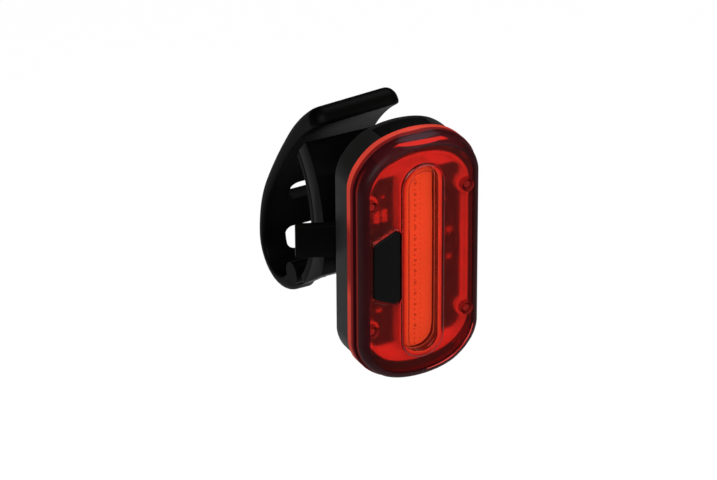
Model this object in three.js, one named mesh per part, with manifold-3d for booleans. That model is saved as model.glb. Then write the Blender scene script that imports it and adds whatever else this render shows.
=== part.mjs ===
// Rechargeable bicycle tail light with a red lens, a side button and a rubber ladder strap mount.
// Lengths are in millimetres. The light faces -Y, Z is up and X runs to the right as seen from its front.
import * as THREE from 'three';
import { mergeVertices } from 'three/addons/utils/BufferGeometryUtils.js';
import Module from 'manifold-3d';

const wasm = await Module();
wasm.setup();

const toRadians = THREE.MathUtils.degToRad;

// Outline of the light, seen from the front: places are shares of its half sizes, radii of its half width
const bodyHalfWidth = 17.5;
const bodyHalfHeight = 34.9;
const sideHeightShare = 0.719;
const sideRadiusShare = 0.543;
const shoulderWidthShare = 0.714;
const shoulderHeightShare = 0.9055;
const shoulderRadiusShare = 0.743;
const crownHeightShare = 1.0545;
const crownRadiusShare = 1.314;

// Depths along Y, from the raised ring at the front to the shell's back
const ringFrontY = -3.1;
const faceFrontY = -2.4;
const windowFrontY = -1.9;
const faceBackY = -0.8;
const rimFrontY = 0;
const flangeFrontY = 1.9;
const partingY = 4.8;
const shellBackY = 13.1;

// Share of a side that the arcs at its two ends may take, and facets round the small round pieces
const cornerRoomShare = 0.98;
const pinSides = 20;
const screwHeadSides = 18;
const screwShankSides = 12;
const leadSides = 10;

// Clearances, and the overrun of every cutting tool
const clearance = 0.15;
const smallGap = 0.3;
const overrun = 1;

// Lens
const lensWall = 1.7;
const lensEdgeRadius = 2.5;
const lensInnerEdge = 0.9;
const flangeLip = 0.6;
const ringOuterRadius = 6.3;
const ringInnerRadius = 5.1;
const ringCrestWidth = 0.6;
const windowLengthShare = 0.6247;
const windowHalfLength = bodyHalfHeight * windowLengthShare;
const scoopRadius = 80;
const scoopSides = 240;
const scoopTopSetback = 0.3;
const scoopBottomSetback = 2.2;
const scoopTopZ = bodyHalfHeight - scoopTopSetback;
const scoopBottomZ = bodyHalfHeight - scoopBottomSetback;

// Shell and the seal in its rim
const shellWall = 2.2;
const shellFloor = 1.5;
const shellEdgeRadius = 1.2;
const sealInset = 0.5;
const sealWidth = 1;
const sealDepth = 0.7;

// Housing screws, their posts in the lens and their bosses in the shell
const screwSideInset = 3.6;
const screwX = bodyHalfWidth - screwSideInset;
const screwZ = 18;
const screwRadius = 0.95;
const screwHeadRadius = 1.7;
const screwHeadHeight = 1.1;
const screwRecess = 1.7;
const crossWidthShare = 0.22;
const crossReachShare = 0.62;
const pilotDepth = 4.2;
const bossRadius = 1.75;
const bossSetback = 0.5;
const screwSeatY = shellBackY - screwRecess;
const screwPlaces = [-screwX, screwX].flatMap((x) => [-screwZ, screwZ].map((z) => ({ x, z })));

// White tray behind the lens
const trayInset = 4.2;
const trayWall = 0.8;
const trayFrontY = faceBackY + smallGap;

// Lamp: its board, its phosphor strip and the chips in it
const boardInset = 3.6;
const ledBoardFrontY = 3;
const ledBoardBackY = 4;
const stripFrontY = 2;
const chipCount = 14;
const chipPitch = 3.2;
const chipSize = 0.55;
const traceShare = 0.6;

// Power button and the switch behind it
const buttonRingGap = 0.5;
const buttonSideInset = 3.3;
const buttonInnerX = -ringOuterRadius - buttonRingGap;
const buttonOuterX = buttonSideInset - bodyHalfWidth;
const buttonLongHalf = 11.2;
const buttonShortHalf = 7.9;
const buttonCornerRadius = 1.6;
const buttonEdge = 0.5;
const buttonFrontY = -2.75;
const buttonLipWidth = 0.55;
const buttonLipHeight = 0.25;
const buttonFlange = 0.55;
const buttonFlangeFrontY = faceBackY + clearance;
const buttonFlangeThickness = 0.5;
const buttonFlangeBackY = buttonFlangeFrontY + buttonFlangeThickness;
const buttonTravel = 0.4;
const switchX = (buttonInnerX + buttonOuterX) / 2;
const switchRoom = bodyHalfWidth - trayInset + switchX;
const switchRoomShare = 0.64;
const switchHalf = switchRoom * switchRoomShare;
const switchHalfHeight = 1.8;
const switchFrontY = 1.7;
const plungerRadiusShare = 0.44;
const plungerRadius = switchHalf * plungerRadiusShare;
const plungerFrontY = 1;

// Small parts soldered beside the lamp
const partRoomShare = 0.28;
const partHalfX = switchRoom * partRoomShare;
const partHalfZ = 0.45;
const partDepth = 0.6;
const partRowPitch = 1.2;
const partButtonGap = 1;
const partBottomZ = buttonLongHalf + partButtonGap;
const partLeftShare = 0.18;
const partLeftOffset = switchRoom * partLeftShare;
const partRightOffset = 1.7;
const partColumns = [switchX - partLeftOffset, switchX + partRightOffset];
const indicatorHalf = partHalfX;
const indicatorDrop = 2.6;
const indicatorZ = -buttonLongHalf - indicatorDrop;
const driverRoomShare = 0.7;
const driverHalf = switchRoom * driverRoomShare;
const driverDepth = 0.9;

// Main board, charging socket and its rubber cover on the crown
const mainBoardFrontY = 5;
const mainBoardBackY = 6;
const mainBoardEndInset = 6.9;
const mainBoardBottomZ = mainBoardEndInset - bodyHalfHeight;
const connectorHalfWidth = 5;
const connectorHalfHeight = 1;
const socketHalfWidth = 4.45;
const socketHalfDepth = 1.6;
const socketEndShare = 0.9;
const socketLength = 7.2;
const socketWall = 0.35;
const socketSetback = 2.7;
const socketTopZ = bodyHalfHeight - socketSetback;
const socketCentreY = mainBoardBackY + socketHalfDepth;
const tongueHalfWidth = 3.2;
const tongueHalfDepth = 0.35;
const coverHalfWidth = 7.6;
const coverFrontY = 5.5;
const coverBackY = 10.9;
const coverRecess = 1.05;

// Battery cell, its tape, plug and leads
const plugHalfWidth = 2.6;
const plugGap = 2.6;
const plugHeight = 3.8;
const plugTopZ = socketTopZ - socketLength - plugGap;
const plugBottomZ = plugTopZ - plugHeight;
const leadLength = 2.6;
const leadRadius = 0.5;
const cellSideInset = 6.7;
const cellEndInset = 8.9;
const cellHalfWidth = bodyHalfWidth - cellSideInset;
const cellTopZ = plugBottomZ - leadLength;
const cellBottomZ = cellEndInset - bodyHalfHeight;
const cellFrontY = 7;
const cellCornerRadius = 1.5;
const tapeThickness = 0.6;
const tapeShare = 0.8;

// Rail on the back of the shell
const railHalfWidth = 6;
const railHalfHeight = 9;
const railCornerRadius = 1;
const railFootDepth = 1.4;
const railNeckDepth = 1.6;
const railHeadDepth = 1.6;
const railNeckFrontY = shellBackY + railFootDepth;
const railNeckHalfWidth = 3.6;
const railHeadFrontY = railNeckFrontY + railNeckDepth;
const railHeadHalfWidth = 5.6;
const railBackY = railHeadFrontY + railHeadDepth;
const railScrewRadius = 0.9;
const railScrewShare = 0.6;
const railNotchHalf = 3.5;

// Saddle that rests on the tube, its rubber liner and the hook for the strap
const saddleHalfWidth = 13;
const saddleNeckHalfWidth = 8.6;
const saddleRadius = 26;
const saddleDeepestY = 35.2;
const saddleCentreZ = -4.6;
const saddlePlate = 5.6;
const saddleTopAngle = 46;
const saddleBottomAngle = -44;
const neckSpanShare = 0.55;
const neckRailMargin = 1.5;
const neckHalfHeight = railHalfHeight + neckRailMargin;
const linerThickness = 2.2;
const linerTopShare = 0.98;
const linerBottomShare = 0.93;
const chinFrontY = 20;
const chinFrontZ = -9.3;
const chinBackY = 47.5;
const chinBackZ = -28.9;
const hollowFrontY = 33.6;
const hollowFrontZ = -15.8;
const hollowDepth = 3.2;
const hollowWall = 3;
const lugThickness = 2.6;
const lugRootY = 34.5;
const lugRootBottomZ = -16.7;
const lugRootTopZ = -13;
const lugWaistY = 38.8;
const lugWaistZ = -17;
const hookFrontY = 31;
const hookBar = 2.4;
const hookRise = 4.5;
const hookReach = 4.5;
const hookRootDepth = 3;
const hookLipShare = 0.7;

// Release lever, whose ears end flush with the saddle's side
const leverHalfHeight = 4.5;
const leverThickness = 2.4;
const leverLugMargin = 1.8;
const leverPivotX = leverLugMargin - saddleHalfWidth;
const leverPivotY = 17.6;
const leverReachX = 12.5;
const leverReachY = 5.6;
const leverTipX = leverPivotX - leverReachX;
const leverTipY = leverPivotY + leverReachY;
const leverPinRadius = 0.8;
const leverLugDepth = 1.8;
const leverToothShare = 0.4;

// Ladder strap: its middle line is a row of arcs that starts under the pin
const strapHalfWidth = saddleHalfWidth;
const strapHalfThickness = 2.2;
const strapInnerEdge = 0.8;
const strapOuterEdgeShare = 1.4;
const strapTipRadius = 4;
const tipThickening = 0.2;
const strapTwist = toRadians(3.5);
const strapHingeY = 47;
const strapHingeZ = -23.5;
const strapEyeRadius = 3.1;
const strapPinRadius = 1.25;
const strapPinHalfLength = 11;
const strapStartOffset = 1.16;
const strapStartDrop = 2.43;
const strapStartY = strapHingeY + strapStartOffset;
const strapStartZ = strapHingeZ - strapStartDrop;
const strapStartAngle = -55.8;
const strapLength = 86.4;
const strapBends = [
  { lengthShare: 0.0638, turn: 36.6 },
  { lengthShare: 0.2235, turn: 108.9 },
  { lengthShare: 0.2102, turn: 31.1 },
  { lengthShare: 0.2676, turn: 8.2 },
  { lengthShare: 0.2349, turn: 20.5 },
];
const ladderHalfWidth = 6;
const ladderHalfLength = 3.8;
const ladderCornerShare = 0.55;
const ladderRoot = 4.4;
const ladderPitch = 17.3;
const ladderCount = 3;
const rootSlotBackY = 55.2;

const group = new THREE.Group();
group.name = 'bicycle_tail_light';

function solidOf(geometry) {
  const bare = geometry.clone();
  bare.deleteAttribute('normal');
  bare.deleteAttribute('uv');
  const merged = mergeVertices(bare);
  return new wasm.Manifold(new wasm.Mesh({
    numProp: 3,
    vertProperties: new Float32Array(merged.attributes.position.array),
    triVerts: new Uint32Array(merged.index.array),
  }));
}

function geometryOf(solid) {
  const mesh = solid.getMesh();
  const geometry = new THREE.BufferGeometry();
  geometry.setAttribute('position', new THREE.BufferAttribute(new Float32Array(mesh.vertProperties), 3));
  geometry.setIndex(new THREE.BufferAttribute(new Uint32Array(mesh.triVerts), 1));
  geometry.computeVertexNormals();
  return geometry;
}

function joined(first, ...others) {
  return geometryOf(others.reduce((solid, other) => solid.add(solidOf(other)), solidOf(first)));
}

function cut(body, ...tools) {
  return geometryOf(tools.reduce((solid, tool) => solid.subtract(solidOf(tool)), solidOf(body)));
}

function shared(body, other) {
  return geometryOf(solidOf(body).intersect(solidOf(other)));
}

function addPiece(name, geometry, color, roughness, metalness = 0) {
  const mesh = new THREE.Mesh(geometry, new THREE.MeshStandardMaterial({ color, roughness, metalness }));
  mesh.name = name;
  group.add(mesh);
}

// Closed skin through a row of rings that all have the same number of points
function skin(rings, capOutline) {
  const count = capOutline.length;
  const positions = rings.flat().flatMap((point) => [point.x, point.y, point.z]);
  const lastRing = (rings.length - 1) * count;
  const triangles = [];
  for (const [a, b, c] of THREE.ShapeUtils.triangulateShape(capOutline, [])) {
    triangles.push(a, b, c);
    triangles.push(lastRing + c, lastRing + b, lastRing + a);
  }
  for (let start = 0; start < lastRing; start += count) {
    for (let index = 0; index < count; index += 1) {
      const here = start + index;
      const next = start + ((index + 1) % count);
      triangles.push(here, here + count, next);
      triangles.push(next, here + count, next + count);
    }
  }
  const geometry = new THREE.BufferGeometry();
  geometry.setAttribute('position', new THREE.Float32BufferAttribute(positions, 3));
  geometry.setIndex(triangles);
  geometry.computeVertexNormals();
  return geometry;
}

// Outline with an arc in place of each corner; corners run anticlockwise, and the arcs at the two ends
// of a short side share it
function roundedOutline(corners, arcSteps = 4) {
  const bends = corners.map((corner, index) => {
    const here = new THREE.Vector2(corner.x, corner.z);
    const before = corners.at(index - 1);
    const after = corners[(index + 1) % corners.length];
    const toBefore = new THREE.Vector2(before.x, before.z).sub(here);
    const toAfter = new THREE.Vector2(after.x, after.z).sub(here);
    const sideLength = toAfter.length();
    toBefore.normalize();
    toAfter.normalize();
    const halfAngle = Math.acos(toBefore.dot(toAfter)) / 2;
    return { here, toBefore, toAfter, sideLength, halfAngle, tangent: corner.radius / Math.tan(halfAngle) };
  });
  return bends.flatMap(({ here, toBefore, toAfter, sideLength, halfAngle, tangent: wanted }, index) => {
    const before = bends.at(index - 1);
    const after = bends[(index + 1) % bends.length];
    const room = cornerRoomShare * Math.min(
      before.sideLength / (before.tangent + wanted),
      sideLength / (wanted + after.tangent),
    );
    const tangent = wanted * Math.min(room, 1);
    const inward = toBefore.clone().add(toAfter).normalize();
    const centre = here.clone().addScaledVector(inward, tangent / Math.cos(halfAngle));
    const start = here.clone().addScaledVector(toBefore, tangent).sub(centre);
    const end = here.clone().addScaledVector(toAfter, tangent).sub(centre);
    const turn = Math.atan2(start.cross(end), start.dot(end));
    const origin = new THREE.Vector2();
    return Array.from({ length: arcSteps + 1 }, (_, step) => (
      start.clone().rotateAround(origin, turn * step / arcSteps).add(centre)
    ));
  });
}

// Corners of a shape moved outward by the same distance on every side
function grownCorners(corners, distance) {
  return corners.map((corner, index) => {
    const here = new THREE.Vector2(corner.x, corner.z);
    const before = corners.at(index - 1);
    const after = corners[(index + 1) % corners.length];
    const alongBefore = here.clone().sub(new THREE.Vector2(before.x, before.z)).normalize();
    const alongAfter = new THREE.Vector2(after.x, after.z).sub(here).normalize();
    const outBefore = new THREE.Vector2(alongBefore.y, -alongBefore.x);
    const outAfter = new THREE.Vector2(alongAfter.y, -alongAfter.x);
    const bisector = outBefore.clone().add(outAfter).normalize();
    here.addScaledVector(bisector, distance / bisector.dot(outBefore));
    return { x: here.x, z: here.y, radius: Math.max(corner.radius + distance, smallGap) };
  });
}

function mirrorX(corner) {
  return { ...corner, x: -corner.x };
}

function mirrorZ(corner) {
  return { ...corner, z: -corner.z };
}

function bodyOutline(growth) {
  const side = {
    x: bodyHalfWidth,
    z: bodyHalfHeight * sideHeightShare,
    radius: bodyHalfWidth * sideRadiusShare,
  };
  const shoulder = {
    x: bodyHalfWidth * shoulderWidthShare,
    z: bodyHalfHeight * shoulderHeightShare,
    radius: bodyHalfWidth * shoulderRadiusShare,
  };
  const crown = { x: 0, z: bodyHalfHeight * crownHeightShare, radius: bodyHalfWidth * crownRadiusShare };
  const upper = [side, shoulder, crown, mirrorX(shoulder), mirrorX(side)];
  const lower = upper.toReversed().map(mirrorZ);
  return roundedOutline(grownCorners([...upper, ...lower], growth));
}

function rectangleOutline(halfWidth, halfHeight, radius) {
  const corner = { x: halfWidth, z: halfHeight, radius };
  return roundedOutline([mirrorZ(corner), corner, mirrorX(corner), mirrorX(mirrorZ(corner))], 3);
}

// Upright slot shape of the lamp window
function windowOutline(radius) {
  const steps = 12;
  const half = Array.from({ length: steps + 1 }, (_, step) => {
    const angle = Math.PI * step / steps;
    return new THREE.Vector2(radius * Math.cos(angle), windowHalfLength + radius * Math.sin(angle));
  });
  return [...half, ...half.map((point) => point.clone().negate())];
}

function buttonOutline(growth) {
  const inner = { x: buttonInnerX, z: buttonLongHalf, radius: buttonCornerRadius };
  const outer = { x: buttonOuterX, z: buttonShortHalf, radius: buttonCornerRadius };
  return roundedOutline(grownCorners([mirrorZ(inner), inner, outer, mirrorZ(outer)], growth));
}

// Loft from front to back through outlines in planes of constant Y
function loft(layers) {
  const rings = layers.map(({ y, outline }) => (
    outline.map((point) => new THREE.Vector3(point.x, y, point.y))
  ));
  return skin(rings, layers[0].outline);
}

function plate(outline, frontY, backY) {
  return loft([{ y: frontY, outline }, { y: backY, outline }]);
}

// Layers of a rounded edge between a straight side that ends at sideY and a face at faceY
function roundedEdge(outlineOf, sideY, faceY, inset, steps) {
  return Array.from({ length: steps }, (_, step) => {
    const angle = Math.PI / 2 * (step + 1) / steps;
    return {
      y: sideY + (faceY - sideY) * Math.sin(angle),
      outline: outlineOf(-inset * (1 - Math.cos(angle))),
    };
  });
}

// Extrusion along X of a profile of Y and Z that runs anticlockwise as seen from the right
function acrossX(profile, leftX, rightX) {
  const turned = profile.toReversed();
  const rings = [leftX, rightX].map((x) => turned.map((point) => new THREE.Vector3(x, point.x, point.y)));
  return skin(rings, turned.map((point) => new THREE.Vector2(-point.x, point.y)));
}

// Extrusion along Z of a profile of X and Y that runs anticlockwise as seen from above
function alongZ(profile, bottomZ, topZ) {
  const turned = profile.toReversed();
  const rings = [bottomZ, topZ].map((z) => turned.map((point) => new THREE.Vector3(point.x, point.y, z)));
  return skin(rings, turned.map((point) => new THREE.Vector2(-point.x, point.y)));
}

function at(a, b) {
  return new THREE.Vector2(a, b);
}

function box(leftX, rightX, frontY, backY, bottomZ, topZ) {
  const geometry = new THREE.BoxGeometry(rightX - leftX, backY - frontY, topZ - bottomZ);
  return geometry.translate((leftX + rightX) / 2, (frontY + backY) / 2, (bottomZ + topZ) / 2);
}

function rodAlongX(radius, { y, z }, leftX, rightX, sides = 28) {
  const geometry = new THREE.CylinderGeometry(radius, radius, rightX - leftX, sides);
  return geometry.rotateZ(Math.PI / 2).translate((leftX + rightX) / 2, y, z);
}

function rodAlongY(radius, { x, z }, frontY, backY, sides = 20) {
  const geometry = new THREE.CylinderGeometry(radius, radius, backY - frontY, sides);
  return geometry.translate(x, (frontY + backY) / 2, z);
}

function rodAlongZ(radius, { x, y }, bottomZ, topZ, sides = 16) {
  const geometry = new THREE.CylinderGeometry(radius, radius, topZ - bottomZ, sides);
  return geometry.rotateX(Math.PI / 2).translate(x, y, (bottomZ + topZ) / 2);
}

// Flat oval of the charging socket, seen from above
function socketOval(shrink) {
  const halfDepth = socketHalfDepth - shrink;
  const oval = rectangleOutline(socketHalfWidth - shrink, halfDepth, halfDepth * socketEndShare);
  return oval.map((point) => at(point.x, point.y + socketCentreY));
}

// Rear shell

function makeSealGroove() {
  return cut(
    plate(bodyOutline(-sealInset), partingY - overrun, partingY + sealDepth),
    plate(bodyOutline(-sealInset - sealWidth), partingY - overrun * 2, partingY + sealDepth + overrun),
  );
}

function makeCoverPocket() {
  return cut(
    shared(
      plate(bodyOutline(overrun), coverFrontY, coverBackY),
      box(-coverHalfWidth, coverHalfWidth, coverFrontY, coverBackY, 0, bodyHalfHeight + overrun * 2),
    ),
    plate(bodyOutline(-coverRecess), coverFrontY - overrun, coverBackY + overrun),
  );
}

const railScrewPlaces = [-1, 1].map((side) => ({ x: 0, z: side * railHalfHeight * railScrewShare }));

function makeShell() {
  const outside = loft([
    { y: partingY, outline: bodyOutline(0) },
    { y: shellBackY - shellEdgeRadius, outline: bodyOutline(0) },
    ...roundedEdge(bodyOutline, shellBackY - shellEdgeRadius, shellBackY, shellEdgeRadius, 3),
  ]);
  const inside = plate(bodyOutline(-shellWall), partingY - overrun, shellBackY - shellFloor);
  const portHalfWidth = socketHalfWidth + smallGap;
  const portHalfDepth = socketHalfDepth + smallGap;
  const portHole = box(
    -portHalfWidth, portHalfWidth,
    socketCentreY - portHalfDepth, socketCentreY + portHalfDepth,
    socketTopZ - overrun, bodyHalfHeight + overrun,
  );
  const bosses = screwPlaces.map((place) => (
    rodAlongY(bossRadius, place, partingY + bossSetback, shellBackY - shellFloor / 2)
  ));
  const screwHoles = screwPlaces.flatMap((place) => [
    rodAlongY(screwRadius + clearance, place, partingY, shellBackY + overrun),
    rodAlongY(screwHeadRadius + clearance, place, screwSeatY, shellBackY + overrun),
  ]);
  const railHoles = railScrewPlaces.map((place) => (
    rodAlongY(railScrewRadius, place, shellBackY - shellFloor * 2, shellBackY + overrun)
  ));
  const hollow = cut(outside, inside, makeSealGroove(), makeCoverPocket(), portHole);
  return cut(joined(hollow, ...bosses), ...screwHoles, ...railHoles);
}

addPiece('rear_shell', makeShell(), '#2d2c2a', 0.55);

// Rubber seal between shell and lens
function makeSeal() {
  return cut(
    plate(bodyOutline(-sealInset - clearance), partingY, partingY + sealDepth),
    plate(
      bodyOutline(-sealInset - sealWidth + clearance),
      partingY - overrun, partingY + sealDepth + overrun,
    ),
  );
}

addPiece('housing_seal', makeSeal(), '#141414', 0.8);

// Lens: a transparent cup with a flange, a scooped crown, a raised ring and an opening for the button

// Large cylinder that lies across the crown and slopes down towards the face
function scoopTool(depth) {
  const slope = Math.atan2(scoopTopZ - scoopBottomZ, flangeFrontY - faceFrontY);
  const centre = { x: 0, z: scoopRadius };
  return rodAlongY(scoopRadius + depth, centre, -bodyHalfHeight, bodyHalfHeight, scoopSides)
    .rotateX(slope)
    .translate(0, flangeFrontY, scoopTopZ);
}

function makeLensOutside() {
  return loft([
    ...roundedEdge(bodyOutline, rimFrontY, faceFrontY, lensEdgeRadius, 4).reverse(),
    { y: rimFrontY, outline: bodyOutline(0) },
    { y: flangeFrontY, outline: bodyOutline(-clearance) },
    { y: flangeFrontY, outline: bodyOutline(flangeLip - clearance) },
    { y: flangeFrontY + smallGap, outline: bodyOutline(flangeLip) },
    { y: partingY, outline: bodyOutline(flangeLip) },
  ]);
}

function makeLensHollow() {
  const inside = loft([
    { y: faceBackY, outline: bodyOutline(-lensWall - lensInnerEdge) },
    { y: faceBackY + lensInnerEdge, outline: bodyOutline(-lensWall) },
    { y: partingY + overrun, outline: bodyOutline(-lensWall) },
  ]);
  return cut(inside, scoopTool(lensWall));
}

function makeRing() {
  return loft([
    { y: ringFrontY, outline: windowOutline(ringInnerRadius + ringCrestWidth) },
    { y: ringFrontY + smallGap, outline: windowOutline(ringOuterRadius - clearance) },
    { y: faceFrontY + smallGap, outline: windowOutline(ringOuterRadius) },
  ]);
}

function makeWindowRecess() {
  return loft([
    { y: ringFrontY - overrun, outline: windowOutline(ringInnerRadius + smallGap) },
    { y: ringFrontY, outline: windowOutline(ringInnerRadius + smallGap) },
    { y: windowFrontY, outline: windowOutline(ringInnerRadius - smallGap) },
  ]);
}

function makeLens() {
  const buttonHole = plate(buttonOutline(clearance * 2), ringFrontY - overrun, rimFrontY);
  const buttonLip = cut(
    plate(buttonOutline(buttonLipWidth + clearance), faceFrontY - buttonLipHeight, faceFrontY + smallGap),
    plate(windowOutline(ringOuterRadius - smallGap), ringFrontY, rimFrontY),
  );
  const posts = screwPlaces.map((place) => rodAlongY(bossRadius, place, faceBackY - clearance, partingY));
  const pilots = screwPlaces.map((place) => (
    rodAlongY(screwRadius, place, partingY - pilotDepth, partingY + overrun)
  ));
  const cup = cut(
    joined(makeLensOutside(), makeRing(), buttonLip),
    makeLensHollow(), makeWindowRecess(), buttonHole, scoopTool(0),
  );
  return cut(joined(cup, ...posts), ...pilots);
}

addPiece('front_lens', makeLens(), '#a81410', 0.12);

// Screw that enters from the back, with a cross cut in its head
function makeScrew(radius, length, headFrontY, place) {
  const shank = rodAlongY(radius, place, headFrontY - length, headFrontY, screwShankSides);
  const headBackY = headFrontY + screwHeadHeight;
  const head = rodAlongY(screwHeadRadius, place, headFrontY, headBackY, screwHeadSides);
  const half = screwHeadRadius * crossWidthShare;
  const reach = screwHeadRadius * crossReachShare;
  const crossFrontY = headFrontY + screwHeadHeight / 2;
  const { x, z } = place;
  return cut(
    joined(shank, head),
    box(x - reach, x + reach, crossFrontY, headBackY + overrun, z - half, z + half),
    box(x - half, x + half, crossFrontY, headBackY + overrun, z - reach, z + reach),
  );
}

const housingScrewLength = screwSeatY - partingY + pilotDepth - smallGap;
screwPlaces.forEach((place, index) => {
  const screw = makeScrew(screwRadius - clearance, housingScrewLength, screwSeatY, place);
  addPiece(`housing_screw_${index + 1}`, screw, '#3a3a3c', 0.35, 1);
});

// White tray that lines the lens and frames the lamp window
function makeTray() {
  const rimY = trayFrontY + lensEdgeRadius / 2;
  const solidTray = plate(bodyOutline(trayWall - trayInset), rimY, ledBoardFrontY);
  const wall = cut(solidTray, plate(bodyOutline(-trayInset), trayFrontY - overrun, ledBoardFrontY + overrun));
  const opening = plate(
    windowOutline(ringInnerRadius + clearance), trayFrontY - overrun, ledBoardFrontY + overrun,
  );
  const frame = plate(windowOutline(ringInnerRadius + clearance + trayWall), trayFrontY, ledBoardFrontY);
  const floor = plate(bodyOutline(-trayInset + clearance), ledBoardFrontY - trayWall, ledBoardFrontY);
  const middleHalf = windowHalfLength + ringInnerRadius / 2;
  const ends = cut(floor, box(
    -bodyHalfWidth, bodyHalfWidth, trayFrontY, ledBoardFrontY + overrun, -middleHalf, middleHalf,
  ));
  const notchRadius = bossRadius + smallGap;
  const notches = screwPlaces.map((place) => (
    rodAlongY(notchRadius, place, trayFrontY, ledBoardFrontY + overrun)
  ));
  const collars = shared(solidTray, joined(...screwPlaces.map((place) => (
    rodAlongY(notchRadius + trayWall, place, trayFrontY, ledBoardFrontY + overrun)
  ))));
  return cut(joined(wall, frame, ends, collars), opening, ...notches);
}

addPiece('reflector_tray', makeTray(), '#e9e6e0', 0.45);

// Lamp

function makeLedBoard() {
  return cut(
    plate(bodyOutline(-boardInset), ledBoardFrontY, ledBoardBackY),
    ...screwPlaces.map((place) => (
      rodAlongY(bossRadius + smallGap, place, ledBoardFrontY - overrun, partingY)
    )),
  );
}

addPiece('led_board', makeLedBoard(), '#1d1a1a', 0.5);

const chipRowHalf = (chipCount - 1) / 2 * chipPitch;
const traceFrontY = ledBoardFrontY - clearance * 2;

function chipBoxes(growth, frontY) {
  const half = chipSize / 2 + growth;
  return Array.from({ length: chipCount }, (_, index) => {
    const z = index * chipPitch - chipRowHalf;
    return box(-half, half, frontY, ledBoardFrontY - clearance, z - half, z + half);
  });
}

function chipTrace(growth, backY) {
  const half = chipSize * traceShare / 2 + growth;
  return box(-half, half, traceFrontY - growth, backY, -chipRowHalf, chipRowHalf);
}

function makePhosphorStrip() {
  return cut(
    plate(windowOutline(ringInnerRadius - clearance), stripFrontY, ledBoardFrontY),
    ...chipBoxes(clearance / 2, stripFrontY - overrun),
    chipTrace(clearance / 2, ledBoardFrontY + overrun),
  );
}

addPiece('phosphor_strip', makePhosphorStrip(), '#e4562c', 0.4);
addPiece('led_chips', joined(
  chipTrace(0, ledBoardFrontY - clearance),
  ...chipBoxes(0, stripFrontY - clearance),
), '#6b1710', 0.3);

// Rubber power button with its sealing flange and stem
function makeButton() {
  const cap = loft([
    ...roundedEdge(buttonOutline, buttonFrontY + buttonEdge, buttonFrontY, buttonEdge, 3).reverse(),
    { y: buttonFrontY + buttonEdge, outline: buttonOutline(0) },
    { y: buttonFlangeBackY, outline: buttonOutline(0) },
  ]);
  const flange = plate(buttonOutline(buttonFlange), buttonFlangeFrontY, buttonFlangeBackY);
  const stem = rodAlongY(plungerRadius, { x: switchX, z: 0 }, buttonFlangeFrontY, plungerFrontY);
  return joined(cap, flange, stem);
}

addPiece('power_button', makeButton(), '#101010', 0.6);

const plungerBackY = switchFrontY + buttonTravel;
const plunger = rodAlongY(plungerRadius, { x: switchX, z: 0 }, plungerFrontY, plungerBackY);
addPiece('switch_plunger', plunger, '#c9b48a', 0.5);

function makeSwitchBody() {
  const well = rodAlongY(
    plungerRadius + clearance, { x: switchX, z: 0 },
    switchFrontY - overrun, plungerBackY + buttonTravel + clearance,
  );
  return cut(
    box(
      switchX - switchHalf, switchX + switchHalf,
      switchFrontY, ledBoardFrontY, -switchHalfHeight, switchHalfHeight,
    ),
    well,
  );
}

addPiece('switch_body', makeSwitchBody(), '#8d8f92', 0.35, 0.9);

// Small parts soldered to the front of the lamp's board
function makeSolderedPart(x, z, halfX, halfZ, depth) {
  return box(x - halfX, x + halfX, ledBoardFrontY - depth, ledBoardFrontY, z - halfZ, z + halfZ);
}

const partRows = [0, 1, 2].map((row) => partBottomZ + row * partRowPitch);
const partPlaces = partColumns.flatMap((x) => partRows.map((z) => ({ x, z })));
partPlaces.forEach(({ x, z }, index) => {
  const resistor = makeSolderedPart(x, z, partHalfX, partHalfZ, partDepth);
  addPiece(`resistor_${index + 1}`, resistor, '#7c7a76', 0.4);
});
const indicator = makeSolderedPart(switchX, indicatorZ, indicatorHalf, indicatorHalf / 2, partDepth);
addPiece('charge_indicator', indicator, '#e8e4cf', 0.3);
const driver = makeSolderedPart(-switchX, 0, driverHalf, driverHalf, driverDepth);
addPiece('driver_chip', driver, '#17181a', 0.4);

// Main board and the connector between the boards
function makeMainBoard() {
  const outline = plate(bodyOutline(-boardInset), mainBoardFrontY, mainBoardBackY);
  const kept = box(-bodyHalfWidth, bodyHalfWidth, partingY, shellBackY, mainBoardBottomZ, bodyHalfHeight);
  const notches = screwPlaces.map((place) => rodAlongY(bossRadius + smallGap, place, partingY, shellBackY));
  return cut(shared(outline, kept), ...notches);
}

addPiece('main_board', makeMainBoard(), '#1f4a2c', 0.5);
addPiece('board_connector', box(
  -connectorHalfWidth, connectorHalfWidth,
  ledBoardBackY, mainBoardFrontY,
  -connectorHalfHeight, connectorHalfHeight,
), '#1c1c1c', 0.5);

// Charging socket: a drawn metal sleeve, open at the top, with a tongue in it
const socketBottomZ = socketTopZ - socketLength;

function makeSocket() {
  return cut(
    alongZ(socketOval(0), socketBottomZ, socketTopZ),
    alongZ(socketOval(socketWall), socketBottomZ + socketWall, socketTopZ + overrun),
  );
}

addPiece('charging_socket', makeSocket(), '#b9bcc0', 0.25, 1);
addPiece('socket_tongue', box(
  -tongueHalfWidth, tongueHalfWidth, socketCentreY - tongueHalfDepth, socketCentreY + tongueHalfDepth,
  socketBottomZ + socketWall, socketTopZ - overrun,
), '#202124', 0.5);

// Battery cell, held to the shell's floor by foam tape, with its plug and two leads
const cellBackY = shellBackY - shellFloor - tapeThickness;

function cellPlate(share, radius, frontY, backY) {
  const halfHeight = (cellTopZ - cellBottomZ) / 2;
  const outline = rectangleOutline(cellHalfWidth * share, halfHeight * share, radius);
  return plate(outline, frontY, backY).translate(0, 0, (cellTopZ + cellBottomZ) / 2);
}

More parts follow.
